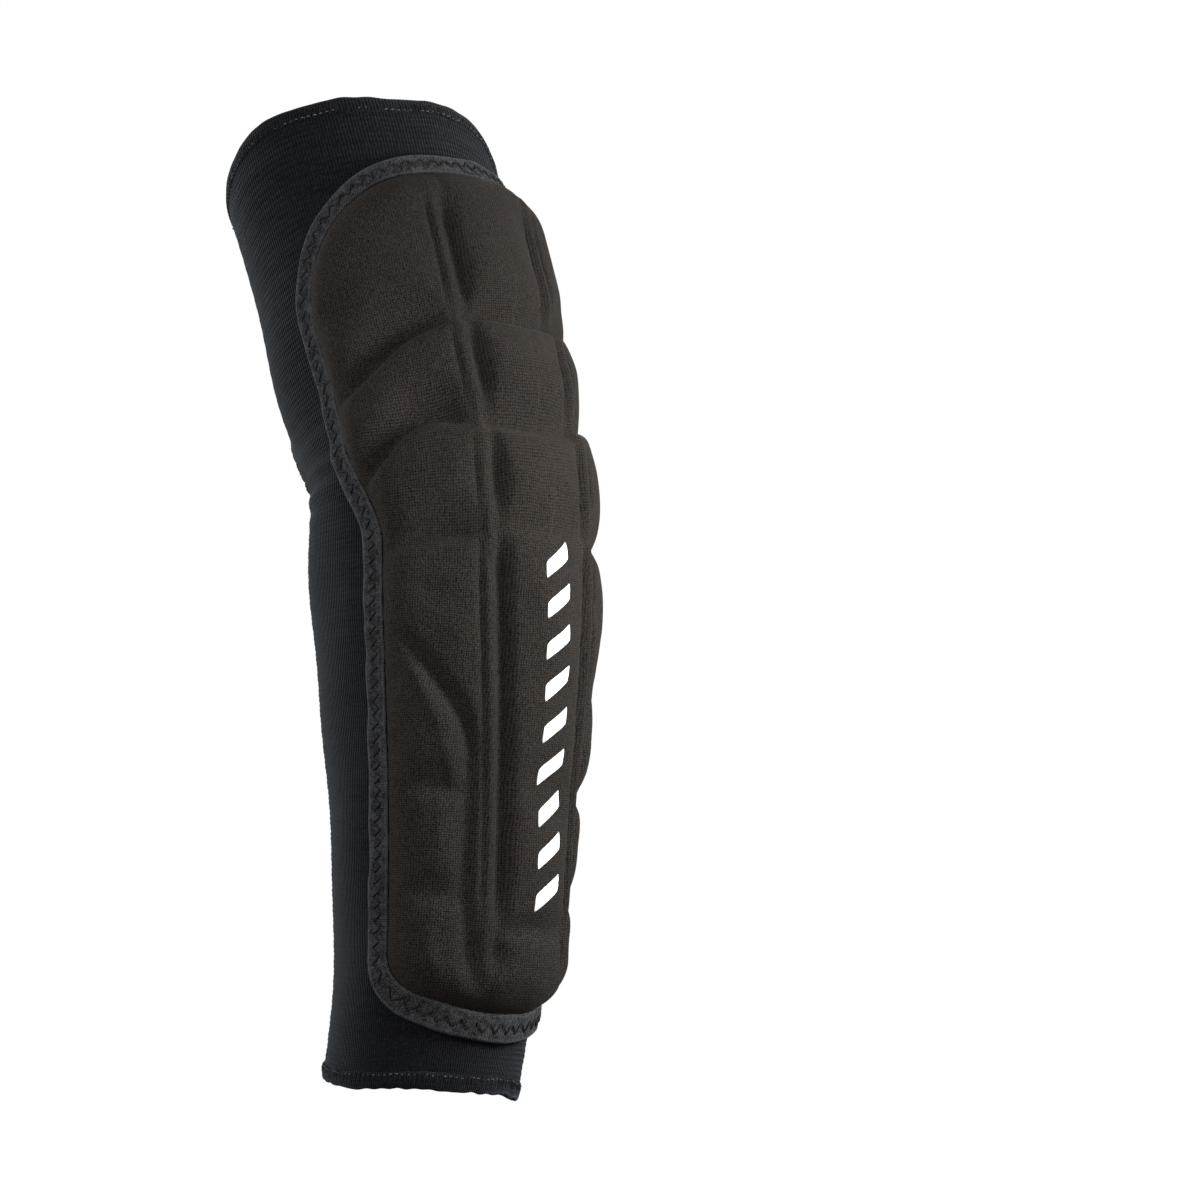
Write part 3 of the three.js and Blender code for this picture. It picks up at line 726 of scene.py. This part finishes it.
BOTTOM_GROOVE = 60.5
GROOVE_STATIONS = {
    # each groove between two rows: (pattern angle, station along the arm)
    "upper": [(0, 270.5), (18, 271.8), (30, 271.7), (45, 268.8), (60, 261.5), (76, 253)],
    "elbow": [(0, 235), (18, 236), (30, 237.7), (44, 239.7), (54, 237), (64, 230), (78, 219)],
    "lower": [(0, 206), (20, 206), (30, 204.5), (45, 203), (70, 197)],
    "middle": [(0, 111), (90, 111)],
    "last": [(0, 72), (90, 72)],
    "bottom": [(0, BOTTOM_GROOVE), (90, BOTTOM_GROOVE)],
    "slanted": [(0, 118), (33, 122), (38, 137), (45, 148), (54, 160), (66, 171)],
}
GROOVES = {name: through_stations(stations) for name, stations in GROOVE_STATIONS.items()}
FAR_RISE = {"upper": 5, "elbow": 4}  # the +Y wing's upper grooves lie higher than the -Y wing's
PLATEAU_ANGLE = 16.8
BEAD_ANGLE = 25.4
RIB_PATH = [
    (66, 175), (54, 160.5), (45, 148.5), (38, 137), (35, 125), (35.8, 100), (37, 79), (35, 60), (31, 40),
]
CREST_PATHS = [
    # bright crests beside the rib's groove: (stations, how high, how wide)
    ([(54, 153), (49, 139), (44.5, 125), (41.5, 112.5)], 1.1, 2.4),
    ([(42.6, 134), (39.3, 121)], 0.6, 1.5),
    ([(48, 106), (47.5, 92), (49, 80)], 0.6, 2.2),
    ([(49.5, 68), (51, 53), (44, 38)], 0.6, 2.2),
]


def far_rise(name, u, a):
    return FAR_RISE.get(name, 0) * smooth(a, 14, 42) * (np.asarray(u) > 0)


def valley(distance, depth, width, power=2.0):
    return depth * np.exp(-((np.abs(distance) / width) ** power))


def lip(distance, depth, above, below):
    """A groove with a soft slope above it and a steep one below."""
    width = np.where(distance > 0, above, below)
    return depth * np.exp(-((np.abs(distance) / width) ** 1.7))


def path_distance(a, s, arc, stations):
    """The distance to a smooth path through (pattern angle, s) stations."""
    ends = np.array(stations, float)
    at = np.linspace(0, len(ends) - 1, 40)
    angle = through_stations(list(enumerate(ends[:, 0])))(at)
    station = through_stations(list(enumerate(ends[:, 1])))(at)
    nearest = np.full(a.shape, np.inf)
    for k in range(len(at) - 1):
        across, up = (angle[k + 1] - angle[k]) * arc, station[k + 1] - station[k]
        x, y = (a - angle[k]) * arc, s - station[k]
        t = np.clip((x * across + y * up) / (across**2 + up**2), 0, 1)
        nearest = np.minimum(nearest, np.hypot(x - t * across, y - t * up))
    return nearest


def row_middle(s):
    """1 in the middle of a row of the centre column and 0 at its ends, where the column's groove closes."""
    ends = [PAD_BOTTOM + 8, BOTTOM_GROOVE, 206, 236, 271, PAD_TOP - 10]
    return np.prod([1 - 0.8 * bump(s, end, 8.5) for end in ends], axis=0) * smooth(s, 36, 46)


def column_relief(a, s, arc):
    """The groove, bead, fine groove and ridge that run down each side of the centre column."""
    bead_angle = BEAD_ANGLE - 2.4 * smooth(s, 262, 300)
    place = (a - bead_angle) * arc
    groove = (a - (bead_angle + PLATEAU_ANGLE) / 2 + 0.4) * arc
    ends = smooth(s, 38, 56) * (1 - 0.5 * smooth(s, 312, 334))
    middle = row_middle(s)
    deep = valley(groove, 1.0 + 4.0 * middle, 2.1 + 0.9 * middle)
    deep += valley(groove - 1.2, 0.9, 7, 2)
    fine = valley(place - 3.4, 1.7 * middle, 1.1)
    beside = valley(place - 3.2, 0.9, 5.5, 3)
    return ends * (np.maximum(deep, beside) + fine)


def cross_groove(name, a, s, depth, fade_from, fade_to, on_column, rise=0.0, above=6.8, below=2.4):
    """A groove between two rows: full on the wings, weaker on the centre column and over the bead."""
    over_bead = bump(a, 27.5, 5.5)
    strength = np.where(a < 26, on_column, 1.0)
    strength = strength * (1 - smooth(a, fade_from, fade_to)) * (1 - 0.5 * over_bead)
    distance = s - GROOVES[name](a) - rise
    return strength * (lip(distance, depth, above, below) + valley(distance, 0.25 * depth, 11))


def pad_relief(u, s):
    """How far the cover lies below its full height inside the pad."""
    radius = sleeve_radius(s)
    a = pattern_angle(u, s)
    arc = np.radians(1) * (radius + 6)
    wing = smooth(a, 20, 23)
    below = 1 - smooth(s - GROOVES["slanted"](a), -7, 3)
    rib = path_distance(a, s, arc, RIB_PATH)
    rib_strength = smooth(s, 34, 50) * (1 - smooth(a, 52, 66))
    wing_only = smooth(a, 35, 40)
    far_side = np.asarray(u) > 0
    flat = (1 - below) * np.where(far_side, 0.5, 1.9) * bump(a, 45, 15)
    notch = np.where(far_side, 1.25, 1.0)
    parts = [
        column_relief(a, s, arc),
        rib_strength * (valley(rib, 3.6, 3.3) + valley(rib, 1.0, 8)),
        cross_groove("upper", a, s, 6.2 * notch, 64, 82, 0.8, far_rise("upper", u, a), above=8.6),
        cross_groove("elbow", a, s, 6.4 * notch, 66, 84, 0.75, far_rise("elbow", u, a), above=8.8),
        cross_groove("lower", a, s, 4.4 * notch, 50, 72, 0.5),
        wing_only * cross_groove("middle", a, s, 3.2, 50, 66, 0, below=4.5),
        wing_only * cross_groove("last", a, s, 2.6, 50, 66, 0, below=5.0),
        (1 - wing) * valley(s - BOTTOM_GROOVE, 2.6, 4.6),
    ]
    grooves = sum(part**2.2 for part in parts) ** (1 / 2.2)
    crests = sum(
        height * bump(path_distance(a, s, arc, path), 0, wide) for path, height, wide in CREST_PATHS
    )
    thin = below * wing * (2.2 * smooth(a, 50, 72) + 0.5)
    shoulder = 0.6 * wing + 0.5 * smooth(a, 40, 75)
    return grooves + thin + shoulder + flat - crests * wing


COVER_EDGE_HEIGHT = 2.4
COVER_FULL_HEIGHT = 14.2
COVER_EDGE_WIDTH = 15


def plain_cover_height(u, s):
    """The height of the cover's outer face above the sleeve, before the cloth settles."""
    inset = np.clip(pad_inset(u, s) / COVER_EDGE_WIDTH, 0, 1)
    rise = (1 - (1 - inset) ** 2) ** 0.72
    return COVER_EDGE_HEIGHT + (COVER_FULL_HEIGHT - COVER_EDGE_HEIGHT - pad_relief(u, s)) * rise


COVER_STEP = 0.75
COVER_MARGIN = 2.6
COVER_HALF = 78
COVER_U = np.arange(-COVER_HALF, COVER_HALF + 0.5, COVER_STEP)
COVER_S = np.arange(PAD_BOTTOM - 4, PAD_TOP + 5, COVER_STEP)
SIM_STRIDE = 4
SIM_FRAMES = 20
SIM_CAP = 1.8
SIM_BLUR = 14
COVER_CLOTH = 0.7
BACKING_STRIDE, BACKING_HEIGHT, BACKING_CLOTH = 4, 1.2, 0.5
BACKING_MARGIN = -1


def kept_cells(us, ss, margin):
    inside = pad_inset(us[:, None], ss[None, :]) > -margin
    return inside[:-1, :-1] & inside[1:, :-1] & inside[1:, 1:] & inside[:-1, 1:]


def settle_cover():
    """Cloth simulation of the cover under the foam's pressure, held at its edge and in its grooves.
    Gives how far each point of the cover's grid rises or sinks, in millimetres."""
    us, ss = COVER_U[::SIM_STRIDE], COVER_S[::SIM_STRIDE]
    u, s = np.meshgrid(us, ss, indexing="ij")
    points = flat_point(u, s, plain_cover_height(u, s))
    keep = kept_cells(us, ss, COVER_MARGIN)
    cloth = grid_mesh("settling_cover", points, keep=keep)
    rest = np.array([v.co for v in cloth.data.vertices])
    used = np.zeros(u.shape, bool)
    used[:-1, :-1] |= keep
    used[1:, :-1] |= keep
    used[1:, 1:] |= keep
    used[:-1, 1:] |= keep
    a, relief = np.degrees(np.abs(u) / sleeve_radius(s)), pad_relief(u, s)
    held = np.clip(1.3 - pad_inset(u, s) / 7, 0, 1)
    held = np.maximum(held, smooth(relief, 2.2, 3.8) * (a < 70))
    group = cloth.vertex_groups.new(name="held")
    for index, weight in enumerate(held[used]):
        group.add([index], float(weight), "REPLACE")
    settings = cloth.modifiers.new("cloth", "CLOTH").settings
    settings.quality = 6
    settings.mass = 0.25
    settings.tension_stiffness = settings.compression_stiffness = 18
    settings.shear_stiffness = 8
    settings.bending_stiffness = 0.6
    settings.use_pressure = True
    settings.uniform_pressure_force = 4
    settings.shrink_min = -0.012
    settings.vertex_group_mass = "held"
    settings.effector_weights.gravity = 0
    scene = bpy.context.scene
    for number in range(1, SIM_FRAMES + 1):
        scene.frame_set(number)
    apply_modifiers(cloth)
    moved = np.array([v.co for v in cloth.data.vertices]) - rest
    phi = (u / sleeve_radius(s))[used]
    lift = np.zeros(u.shape)
    lift[used] = np.clip(np.sum(moved * away_from_arm(s[used], phi), 1) / MM, -SIM_CAP, SIM_CAP)
    bpy.data.objects.remove(cloth)
    scene.frame_set(1)
    fine = np.array([np.interp(COVER_U, us, column) for column in lift.T])
    return np.array([np.interp(COVER_S, ss, row) for row in fine.T])


def grid_blur(values, times):
    for _ in range(times):
        for axis in (0, 1):
            values = (np.roll(values, 1, axis) + 2 * values + np.roll(values, -1, axis)) / 4
    return values


def cover_grid():
    """The settled cover's height at each point of COVER_U by COVER_S."""
    u, s = np.meshgrid(COVER_U, COVER_S, indexing="ij")
    height = plain_cover_height(u, s)
    lift = grid_blur(settle_cover(), SIM_BLUR)
    creases = 0.16 * np.sin(u * 0.5 + 2.2 * np.sin(s * 0.11)) * bump(pad_inset(u, s), 5, 4)
    return height + lift + creases * smooth(pad_inset(u, s), 1, 3)


COVER_HEIGHT = cover_grid()


def cover_height(u, s):
    """The settled height at any place on the pad."""
    u, s = np.broadcast_arrays(np.asarray(u, float), s)
    i = np.clip((u - COVER_U[0]) / COVER_STEP, 0, len(COVER_U) - 1.001)
    j = np.clip((s - COVER_S[0]) / COVER_STEP, 0, len(COVER_S) - 1.001)
    i0, j0 = i.astype(int), j.astype(int)
    fi, fj = i - i0, j - j0
    near = COVER_HEIGHT[i0, j0] * (1 - fj) + COVER_HEIGHT[i0, j0 + 1] * fj
    far = COVER_HEIGHT[i0 + 1, j0] * (1 - fj) + COVER_HEIGHT[i0 + 1, j0 + 1] * fj
    return near * (1 - fi) + far * fi


def pad_sheet(name, height, margin, thickness, stride=1):
    """A cloth at that height over the pad's outline, made wider by margin."""
    us, ss = COVER_U[::stride], COVER_S[::stride]
    u, s = np.meshgrid(us, ss, indexing="ij")
    keep = kept_cells(us, ss, margin)
    sheet = grid_mesh(name, flat_point(u, s, height), cloth=np.stack([u, s], -1), keep=keep)
    thicken(sheet, thickness)
    return sheet


def make_cover():
    return pad_sheet("moulded_cover", COVER_HEIGHT, COVER_MARGIN, COVER_CLOTH)


def make_backing():
    return pad_sheet("backing_cloth", BACKING_HEIGHT, BACKING_MARGIN, BACKING_CLOTH, BACKING_STRIDE)


def backing_area():
    """The backing's flat area in square metres."""
    us, ss = COVER_U[::BACKING_STRIDE], COVER_S[::BACKING_STRIDE]
    cell = BACKING_STRIDE * COVER_STEP * MM
    return float(kept_cells(us, ss, BACKING_MARGIN).sum() * cell**2)


# ---- binding

SECTION_WIDTH = 9.5
BINDING_SECTION = [
    # (distance out from the cover's edge, height), for a tape SECTION_WIDTH wide
    (0.0, 2.9), (0.25, 3.5), (1.0, 3.95), (2.6, 4.05), (4.7, 3.8), (6.8, 3.5), (8.4, 3.15), (9.2, 2.6),
    (9.55, 1.8), (9.3, 0.9), (8.4, 0.3), (5.5, 0.15), (3.2, 0.3), (1.8, 1.3), (0.7, 2.4),
]
STITCH = 2.55
SEAM_WIDTH = 1.75
SEAM_PLACE = 4.8  # how far out from the cover's edge the zigzag's middle lies


def binding_wave(turn):
    """The tape's own unevenness round the pad: how far it wanders out, and how far it lifts."""
    return 0.32 * smooth_noise(71, 46, 3)(turn), 0.26 * smooth_noise(72, 70, 8)(turn)


def binding_seam(length, total):
    """Where the zigzag seam lies at a distance along the tape: from -1 to 1 across it."""
    count = 2 * round(total / STITCH / 2)
    return 2 / np.pi * np.arcsin(np.sin(length / total * count * np.pi))


def binding_points(d, h, path, out, turn, lift=0.0):
    """Points at distance d out from the cover's edge and height h, along the outline."""
    wander, rise = binding_wave(turn)
    d = d * (BINDING_WIDTH / SECTION_WIDTH + 0.14 * smooth(np.cos(turn), 0.9, 0.98)[:, None])
    d = d + wander[:, None] * np.clip(d / BINDING_WIDTH, 0.15, 1)
    u = path[:, 0, None] + out[:, 0, None] * d
    s = path[:, 1, None] + out[:, 1, None] * d
    return flat_point(u, s, h + (rise[:, None] + lift) * np.clip(h / 3, 0, 1))


def make_binding():
    path, out, length, total = pad_outline(0.9)
    turn = length / total * 2 * np.pi
    section = np.array(BINDING_SECTION)
    d, h = section[:, 0][None, :] + 0 * turn[:, None], section[:, 1][None, :] + 0 * turn[:, None]
    seam = binding_seam(length, total)[:, None] * SEAM_WIDTH + SEAM_PLACE
    tops = h > 2.7
    dent = 0.6 * bump(d, seam, 1.2) + 0.2 * bump(d, SEAM_PLACE, 2.4)
    pucker = 0.14 * np.cos(binding_seam(length, total) * np.pi)[:, None]
    points = binding_points(d, h, path, out, turn, tops * (pucker - dent))
    around = np.concatenate([[0], np.cumsum(np.linalg.norm(np.diff(section, axis=0), axis=1)), [34]])
    return ring_solid("pad_tape", points, cloth_grid(np.append(length, total), around))


def make_binding_thread():
    path, out, length, total = pad_outline(0.425)
    turn = length / total * 2 * np.pi
    seam = binding_seam(length, total)
    d = SEAM_PLACE + SEAM_WIDTH * seam
    h = np.interp(d, [p[0] for p in BINDING_SECTION[:9]], [p[1] for p in BINDING_SECTION[:9]])
    h = h + 0.02 - 0.55 * np.abs(seam) ** 5
    points = binding_points(d[:, None], h[:, None], path, out, turn)[:, 0]
    above = binding_points(d[:, None], h[:, None] + 1, path, out, turn)[:, 0]
    return make_thread("pad_tape_seam", points, above - points, 0.3, np.append(length, total) * 1.6)


# ---- foam

def foam_block(name, from_angle, to_angle, low, high, size=18):
    """A moulded block between two pattern angles and two grooves, rounded on top, under the cover."""
    t = np.linspace(-1, 1, size)
    a, b = np.meshgrid(t, t, indexing="ij")
    middle = (low(from_angle) + high(from_angle)) / 2
    limit = np.degrees((pad_half_width(middle) - FOAM_MARGIN) / sleeve_radius(middle))
    last = np.sign(to_angle) * np.minimum(np.abs(to_angle), limit)
    angle = from_angle + (last - from_angle) * (a + 1) / 2
    bottom, top = low(angle), high(angle)
    s = bottom + (top - bottom) * (b + 1) / 2
    u = np.radians(angle + local_drift(angle, s)) * sleeve_radius(s)
    roof = np.maximum(cover_height(u, s) - 2.0, 3.6)
    dome = np.clip((1 - a**6) * (1 - b**6), 0, 1) ** 0.5
    outer = flat_point(u, s, 2.2 + (roof - 2.2) * dome)
    inner = flat_point(u, s, 2.0 - 0.2 * dome)
    points = np.concatenate([outer, inner[:, ::-1]], 1)
    block = grid_mesh(name, points, wrap_columns=True)
    close_ends(block)
    return block


def close_ends(obj):
    """Fills the open ends of a tube-like mesh and turns its faces outward."""
    mesh = bmesh.new()
    mesh.from_mesh(obj.data)
    bmesh.ops.remove_doubles(mesh, verts=mesh.verts, dist=1e-6)
    edges = [e for e in mesh.edges if e.is_boundary]
    if edges:
        bmesh.ops.holes_fill(mesh, edges=edges)
    bmesh.ops.recalc_face_normals(mesh, faces=mesh.faces)
    mesh.to_mesh(obj.data)
    mesh.free()


FLOOR_CORNER_START, CEILING_CORNER_START = 61, 286  # where the foam's rounded corners are measured


def corner_loss(angle, end, start, radius):
    """The distance round the sleeve at a signed angle, and how far the pad's round corner falls back."""
    u = np.radians(np.abs(angle)) * sleeve_radius(end)
    over = np.maximum(u - (pad_half_width(start) - radius), 0)
    return u, radius - np.sqrt(np.maximum(radius**2 - over**2, 0))


def pad_floor(angle):
    """The foam's lowest station at a signed angle."""
    u, loss = corner_loss(angle, PAD_BOTTOM, FLOOR_CORNER_START, PAD_BOTTOM_CORNER)
    return PAD_BOTTOM + loss + bottom_rise(u, PAD_BOTTOM) + FOAM_MARGIN


def pad_ceiling(angle):
    """The foam's highest station at a signed angle."""
    loss = corner_loss(angle, PAD_TOP, CEILING_CORNER_START, PAD_TOP_CORNER)[1]
    return PAD_TOP - loss - FOAM_MARGIN


def shifted(groove, gap):
    """A limit for the foam: the groove's station at a signed pattern angle, plus a gap."""
    def station(angle):
        a = np.abs(angle)
        return GROOVES[groove](a) + far_rise(groove, angle, a) + gap
    return station


FOAM_GAP = 3.2
WING_ROWS = [
    # (row, its lower and upper limits)
    (1, shifted("upper", FOAM_GAP), pad_ceiling),
    (2, shifted("elbow", FOAM_GAP), shifted("upper", -FOAM_GAP)),
    (3, shifted("lower", FOAM_GAP), shifted("elbow", -FOAM_GAP)),
    (4, shifted("slanted", FOAM_GAP), shifted("lower", -FOAM_GAP)),
    (5, shifted("middle", FOAM_GAP), shifted("slanted", -FOAM_GAP)),
    (6, shifted("last", FOAM_GAP), shifted("middle", -FOAM_GAP)),
    (7, pad_floor, shifted("last", -FOAM_GAP)),
]
CENTRE_ROWS = [
    *WING_ROWS[:3],
    (4, shifted("bottom", FOAM_GAP), shifted("lower", -FOAM_GAP)),
    (5, pad_floor, shifted("bottom", -FOAM_GAP)),
]


def finish_foam(block):
    """Gives a foam block its material and hides the CAD node that it stands for."""
    finish_piece(block, [FOAM], [block.name.replace("_core", "")])


def make_foam():
    for side, sign in (("left", -1), ("right", 1)):
        for row, low, high in WING_ROWS:
            inner = FOAM_RIB_ANGLES[0] if row < 5 else FOAM_WING_ANGLE
            name = f"foam_wing_{side}_{row}_core"
            finish_foam(foam_block(name, sign * inner, sign * 80, low, high))
        rib = [sign * angle for angle in FOAM_RIB_ANGLES]
        block = foam_block(f"foam_rib_{side}_core", *rib, pad_floor, shifted("slanted", -FOAM_GAP), 24)
        finish_foam(block)
    for row, low, high in CENTRE_ROWS:
        block = foam_block(f"foam_centre_{row}_core", -FOAM_CENTRE_ANGLE, FOAM_CENTRE_ANGLE, low, high, 24)
        finish_foam(block)


# ---- print

def make_print():
    """Plain slanted bars, each a thin film that follows the cover."""
    for i, s in enumerate(np.linspace(PRINT_START, PRINT_END, PRINT_COUNT)):
        t = np.linspace(-1, 1, 15)
        a, b = np.meshgrid(t, t, indexing="ij")
        round_corner = 1 - 0.06 * np.abs(a * b) ** 5
        middle = np.radians(column_drift(s) + PRINT_ANGLE)
        u = middle * sleeve_radius(s) + a * PRINT_HALF_WIDTH * round_corner
        station = s + b * PRINT_BAR / 2 * round_corner + a * PRINT_SLANT
        height = cover_height(u, station) + 0.14
        points = flat_point(u, station, height)
        bar = grid_mesh(f"print_bar_{i + 1}_film", points, cloth=np.stack([u, station], -1))
        thicken(bar, 0.22)
        finish_piece(bar, [PRINT], [f"print_bar_{i + 1}"])


# ---- the whole guard

def named(prefix):
    return [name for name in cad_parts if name.startswith(prefix)]


def make_guard():
    sleeve = make_sleeve()
    finish_piece(sleeve, [KNIT, LINING], ["sleeve_forearm", "sleeve_elbow", "sleeve_upper_arm"])
    wrist = make_hem("rolled_wrist_hem", 0, HEM_WIDTH)
    finish_piece(wrist, [HEM], ["wrist_hem"])
    biceps = make_hem("rolled_biceps_hem", SLEEVE_LENGTH - HEM_WIDTH, SLEEVE_LENGTH)
    finish_piece(biceps, [HEM], ["biceps_hem"])
    seam = make_hem_thread("wrist_overlock", 0, HEM_WIDTH)
    finish_piece(seam, [THREAD], ["wrist_hem_stitching"])
    seam = make_hem_thread("biceps_overlock", SLEEVE_LENGTH, SLEEVE_LENGTH - HEM_WIDTH, 160)
    finish_piece(seam, [THREAD], ["biceps_hem_stitching"])
    finish_piece(make_hem_dots("wrist_cover_stitch", 0, HEM_WIDTH), [LIGHT_THREAD])
    dots = make_hem_dots("biceps_cover_stitch", SLEEVE_LENGTH, SLEEVE_LENGTH - HEM_WIDTH, 134)
    finish_piece(dots, [LIGHT_THREAD])
    crease = make_crease_binding()
    finish_piece(crease, [TAPE], ["crease_binding"])
    crease_seam = make_crease_thread()
    finish_piece(crease_seam, [THREAD], ["crease_binding_stitching"])
    flat = (2 * math.pi * sleeve_radius(STATIONS).max() * MM, SLEEVE_LENGTH * MM)
    sleeve_area()
    cover = make_cover()
    finish_piece(cover, [COVER], named("pad_cover_"))
    backing = make_backing()
    finish_piece(backing, [LINING], named("pad_backing_"))
    flat = (2 * pad_half_width(STATIONS).max() * MM, (PAD_TOP - PAD_BOTTOM) * MM)
    backing_area()
    binding = make_binding()
    seam_nodes = named("pad_binding_stitching_")
    tape_nodes = [name for name in named("pad_binding_") if name not in seam_nodes]
    finish_piece(binding, [TAPE], tape_nodes)
    zigzag = make_binding_thread()
    finish_piece(zigzag, [THREAD], seam_nodes)
    make_foam()
    make_print()


make_guard()


# ---- floor, light and camera

FLOOR_Z = -0.0125
FLOOR_REACH = 30
BACKDROP_RADIUS = 18


def make_floor():
    mesh = bpy.data.meshes.new("floor")
    corners = [(-1, -1), (1, -1), (1, 1), (-1, 1)]
    points = [(x * FLOOR_REACH, y * FLOOR_REACH, 0) for x, y in corners]
    mesh.from_pydata(points, [], [(0, 1, 2, 3)])
    floor = new_object("floor", mesh)
    floor.location.z = FLOOR_Z
    n = Nodes("floor")
    n.finish((0.86, 0.86, 0.865, 1), 0.9, Specular_IOR_Level=0.1, Emission_Color=(1, 1, 1, 1),
             Emission_Strength=0.6)
    mesh.materials.append(n.material)
    floor.visible_diffuse = floor.visible_glossy = False


def towards(azimuth, elevation):
    """The direction from the guard to a camera or light at that azimuth and elevation, in degrees."""
    a, e = math.radians(azimuth), math.radians(elevation)
    return Vector((math.sin(a) * math.cos(e), -math.cos(a) * math.cos(e), math.sin(e)))


LIGHT_TARGET = Vector((0.0, 0.0, 0.2))


def add_softbox(name, azimuth, elevation, distance, size, power, colour=(1, 1, 1)):
    light = bpy.data.lights.new(name, "AREA")
    light.energy = power
    light.size = size
    light.color = colour
    box = new_object(name, light)
    back = towards(azimuth, elevation)
    box.location = LIGHT_TARGET + back * distance
    box.rotation_euler = back.to_track_quat("Z", "Y").to_euler()
    box.visible_camera = False


def add_overhead_light(strength, spread):
    """An even light from above, which whitens the floor and hardly touches the upright cloth."""
    light = bpy.data.lights.new("overhead", "SUN")
    light.energy = strength
    light.angle = math.radians(spread)
    sun = new_object("overhead", light)
    sun.rotation_euler = towards(20, 78).to_track_quat("Z", "Y").to_euler()


def make_world(strength):
    world = bpy.data.worlds.new("studio")
    world.use_nodes = True
    background = world.node_tree.nodes["Background"]
    background.inputs["Color"].default_value = (1.0, 1.0, 1.0, 1)
    background.inputs["Strength"].default_value = strength
    bpy.context.scene.world = world


def make_backdrop():
    """A plain white dome that shows behind the guard and sheds no light on it."""
    mesh = bmesh.new()
    bmesh.ops.create_icosphere(mesh, subdivisions=4, radius=BACKDROP_RADIUS)
    data = bpy.data.meshes.new("backdrop")
    mesh.to_mesh(data)
    mesh.free()
    dome = new_object("backdrop", data)
    n = Nodes("backdrop")
    n.finish((0, 0, 0, 1), 1.0, Emission_Color=(1, 1, 1, 1), Emission_Strength=1.0)
    data.materials.append(n.material)
    dome.visible_diffuse = dome.visible_glossy = dome.visible_transmission = False
    dome.visible_volume_scatter = dome.visible_shadow = False


CAMERA_AZIMUTH, CAMERA_ELEVATION = 45, -7.1
CAMERA_DISTANCE = 1.55
CAMERA_TARGET = (0.010, 0.0, 0.186)
CAMERA_ASIDE = 0.0616


def make_camera():
    camera = bpy.data.cameras.new("camera")
    camera.lens = 120
    camera.sensor_width = 36
    obj = new_object("camera", camera)
    back = towards(CAMERA_AZIMUTH, CAMERA_ELEVATION)
    right = Vector((math.cos(math.radians(CAMERA_AZIMUTH)), math.sin(math.radians(CAMERA_AZIMUTH)), 0))
    obj.location = Vector(CAMERA_TARGET) + right * CAMERA_ASIDE + back * CAMERA_DISTANCE
    obj.rotation_euler = back.to_track_quat("Z", "Y").to_euler()
    bpy.context.scene.camera = obj


make_floor()
make_backdrop()
make_world(0.17)
add_overhead_light(1.0, 40)
add_softbox("key", 110, 6, 0.42, 0.22, 3.6, (1.0, 0.98, 0.95))
add_softbox("fill", 14, 4, 0.62, 0.3, 2.6, (1.0, 0.98, 0.95))
add_softbox("left_rim", -85, 10, 0.9, 0.5, 2.0, (0.86, 0.93, 1.0))
add_softbox("right_rim", 165, 18, 0.9, 0.4, 2.0)
add_softbox("back", 232, 24, 0.9, 0.5, 6.0)
make_camera()
bpy.context.scene.view_settings.view_transform = "Standard"
